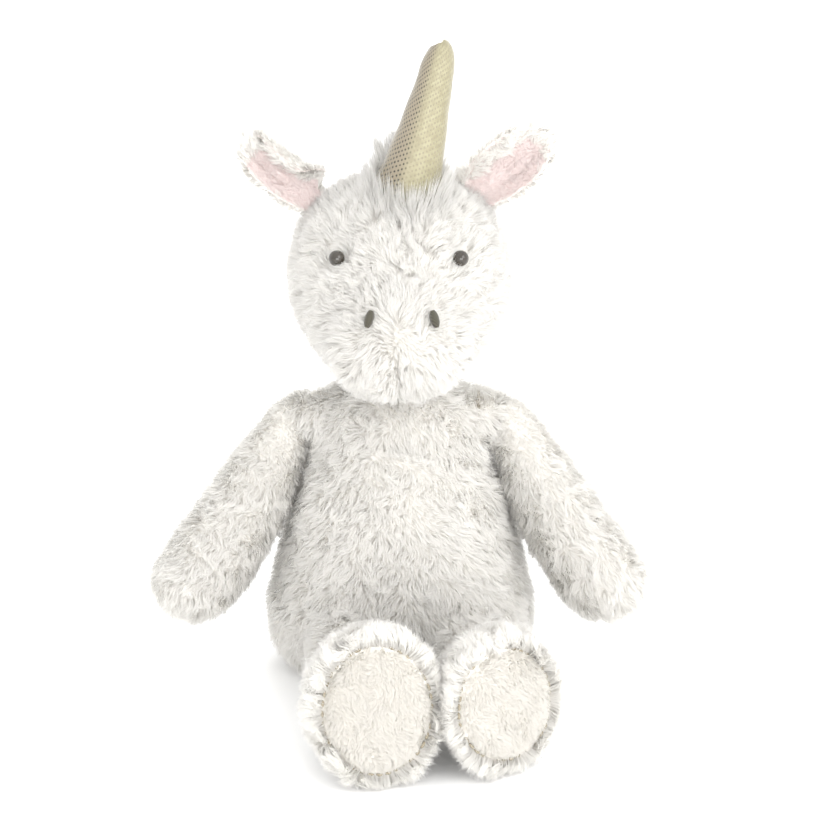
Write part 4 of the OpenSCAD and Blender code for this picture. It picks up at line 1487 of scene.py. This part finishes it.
        def half(points: Array, normals: Array, over: bool) -> Array:
            """1 on the upper or the lower panel, clear of the rim and the pad."""
            there = (to_leg(points)[:, 2] >= 0) == over
            return there * (1 - on_rim(points, normals)) * (1 - covered(points))

        seed = 500 + 10 * self.side.value
        white = self.finishes.white_pile
        grown = {
            "top_panel": self.pile.grow(f"{body}_top_panel_pile", skin, white, down_leg,
                                        lambda p, n: half(p, n, True), seed),
            "bottom_panel": self.pile.grow(f"{body}_bottom_panel_pile", skin, white, down_leg,
                                           lambda p, n: half(p, n, False), seed + 1),
            "welt": self.rim_pile.grow(f"{body}_rim_pile", skin, white, radial, on_rim, seed + 2),
            "sole": self.pad_pile.grow(f"{body}_sole_pile", pad_skin, self.finishes.sole_pile, down_pad,
                                       lambda p, n: (local(p)[:, 2] > 0.3) * 1.0, seed + 3),
        }
        for node, piece in grown.items():
            dress(piece, body, f"{body}_{node}")


# ---- Neck, tail and inner pieces -----------------------------------------


@dataclass
class Neck:
    """The short furry neck that hides the seam under the head."""

    finishes: Finishes
    radius: float = 16.5
    low: float = 134.0
    high: float = 150.0
    pile: Pile = field(default_factory=lambda: Pile(length=9.5, per_mm2=7.0, lie=30, stray=14))

    def build(self) -> None:
        """Makes the neck's short tube and its pile."""
        span = self.high - self.low
        rows = ((0.0, 0.8), (0.1, 0.95), (0.5, 1.0), (0.9, 0.95), (1.0, 0.8))
        bm = bmesh.new()
        loft(bm, [ring((0, 0, self.low + t * span), self.radius * r, self.radius * r) for t, r in rows], 32)
        tube = new_piece("neck_padding", bm)
        refine(tube)
        dress(tube, "neck", None, self.finishes.backing)
        piece = self.pile.grow("neck_pile", Skin(tube), self.finishes.white_pile,
                               lambda p: np.tile((0.0, 0.0, -1.0), (len(p), 1)),
                               lambda p, n: (np.abs(n[:, 2]) < 0.8) * 1.0, 620)
        dress(piece, "neck", "neck_seam")


@dataclass
class Tail:
    """A tuft of long pile round a small sewn core."""

    finishes: Finishes
    root: tuple[float, float, float] = (0.0, 56.2, 47.0)
    out: float = 38.0
    pile: Pile = field(default_factory=lambda: Pile(length=15, per_mm2=9, width=0.42, tuft=3.4, gather=0.45,
                                                    lie=50, stray=12))

    def build(self) -> None:
        """Makes the core and its pile."""
        matrix = (Matrix.Translation(Vector(self.root) * MM)
                  @ Matrix.Rotation(math.radians(self.out), 4, "X"))
        rows = ((-7, 1.5), (-4, 3.0), (4, 4.2), (14, 5.4), (26, 5.6), (34, 3.8), (38, 1.2))
        bm = bmesh.new()
        loft(bm, [ring((0, 0, -z), r, r * 0.9) for z, r in rows], 16)
        bmesh.ops.transform(bm, matrix=matrix, verts=bm.verts)
        core = new_piece("tail_core", bm)
        refine(core)
        dress(core, "tail", None, self.finishes.backing)
        down = np.array(matrix.to_3x3() @ Vector((0, 0, -1)))
        piece = self.pile.grow("tail_pile", Skin(core), self.finishes.white_pile,
                               lambda p: np.tile(down, (len(p), 1)), everywhere, 600)
        dress(piece, "tail", "tail")


class InnerPieces:
    """The frame's own pieces that keep their shape and take a finish."""

    def __init__(self, finishes: Finishes) -> None:
        """Pairs each kind of piece with its finish.

        Args:
            finishes: the toy's finishes.
        """
        self.kinds = {"eye_washer": finishes.washer, "eye": finishes.bead, "pellet_bag": finishes.bag,
                      "pellet_fill": finishes.pellets, "care_label": finishes.label,
                      "horn_stuffing": finishes.fibre, "arm": finishes.seam,
                      "leg": finishes.seam}

    def build(self) -> None:
        """Gives each shown frame piece its finish."""
        for name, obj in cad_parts.items():
            if obj.hide_render:
                continue
            finish = next((m for kind, m in self.kinds.items() if name.startswith(kind)), None)
            if finish is None:
                raise ValueError(f"no finish for {name}")
            obj.data.materials.clear()
            obj.data.materials.append(finish)
            log.info("%s keeps its shape", name)


# ---- Studio --------------------------------------------------------------


@dataclass
class Studio:
    """A pale floor, soft lights and the camera."""

    look_at: tuple[float, float, float] = (0.0092, 0.0, 0.118)
    distance: float = 1.05
    height_angle: float = 17.0
    lens: float = 97.8

    def build(self) -> None:
        """Sets up the floor, the lights, the sky and the camera."""
        scene = bpy.context.scene
        scene.view_settings.view_transform = "Standard"
        bm = bmesh.new()
        bmesh.ops.create_grid(bm, x_segments=2, y_segments=2, size=6.0)
        floor = new_piece("floor", bm)
        material, shader = new_material("matt_studio_paper", Roughness=0.9)
        tree = material.node_tree
        place = add(tree, "ShaderNodeTexCoord").outputs["Object"]
        cloud = add(tree, "ShaderNodeTexNoise", {"Vector": place, "Scale": 3.0})
        tree.links.new(ramp(tree, cloud.outputs[0], ((0.3, "#fbfbfa"), (0.7, "#fcfcfc"))),
                       shader.inputs["Base Color"])
        floor.data.materials.append(material)
        floor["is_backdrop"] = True
        world = bpy.data.worlds.new("soft_sky")
        world.use_nodes = True
        sky = world.node_tree.nodes["Background"]
        sky.inputs["Color"].default_value = (1.0, 1.0, 1.0, 1.0)
        sky.inputs["Strength"].default_value = 1.5
        scene.world = world
        for name, place, size, power in (("key", (0.7, -0.8, 0.75), 0.7, 4.0),
                                         ("fill", (0.2, -1.3, 0.1), 0.9, 10.5),
                                         ("back", (0.1, 1.1, 0.6), 0.8, 6.0)):
            lamp = bpy.data.lights.new(name, "AREA")
            lamp.size, lamp.energy = size, power
            obj = bpy.data.objects.new(name, lamp)
            obj.location = place
            obj.rotation_euler = (Vector((0, 0, 0.12)) - Vector(place)).to_track_quat("-Z", "Y").to_euler()
            scene.collection.objects.link(obj)
        angle = math.radians(self.height_angle)
        target = Vector(self.look_at)
        eye = target + Vector((0, -math.cos(angle), math.sin(angle))) * self.distance
        data = bpy.data.cameras.new("camera")
        data.lens, data.sensor_width = self.lens, 36.0
        camera = bpy.data.objects.new("camera", data)
        camera.location = eye
        camera.rotation_euler = (target - eye).to_track_quat("-Z", "Y").to_euler()
        scene.collection.objects.link(camera)
        scene.camera = camera


def main() -> None:
    """Builds the whole toy in order."""
    logging.basicConfig(level=logging.INFO, format="%(name)s: %(message)s")
    Studio().build()
    finishes = Finishes()
    Body(finishes).build()
    Head(finishes).build()
    Horn(finishes).build()
    Ear(finishes, Side.LEFT, EarSet.ROLLED, (35.0, 2.0, 222.5)).build()
    Ear(finishes, Side.RIGHT, EarSet.OPEN, (33.5, 2.0, 224.5)).build()
    for side in Side:
        Arm(finishes, side).build()
    Leg(finishes, Side.LEFT, (-26.5, -59.524, 18.5), 13.5, -4.0, length=82.0, foot_h=66.0,
        sole_h=54.0).build()
    Leg(finishes, Side.RIGHT, (26.5, -52.524, 18.5), 14.5, 18.0, foot_h=61.0, sole_h=47.0).build()
    Neck(finishes).build()
    Tail(finishes).build()
    InnerPieces(finishes).build()
    boxes = [[list(corner) for corner in box] for box in (FRAME_BOX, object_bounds())]


if __name__ == "__main__":
    main()
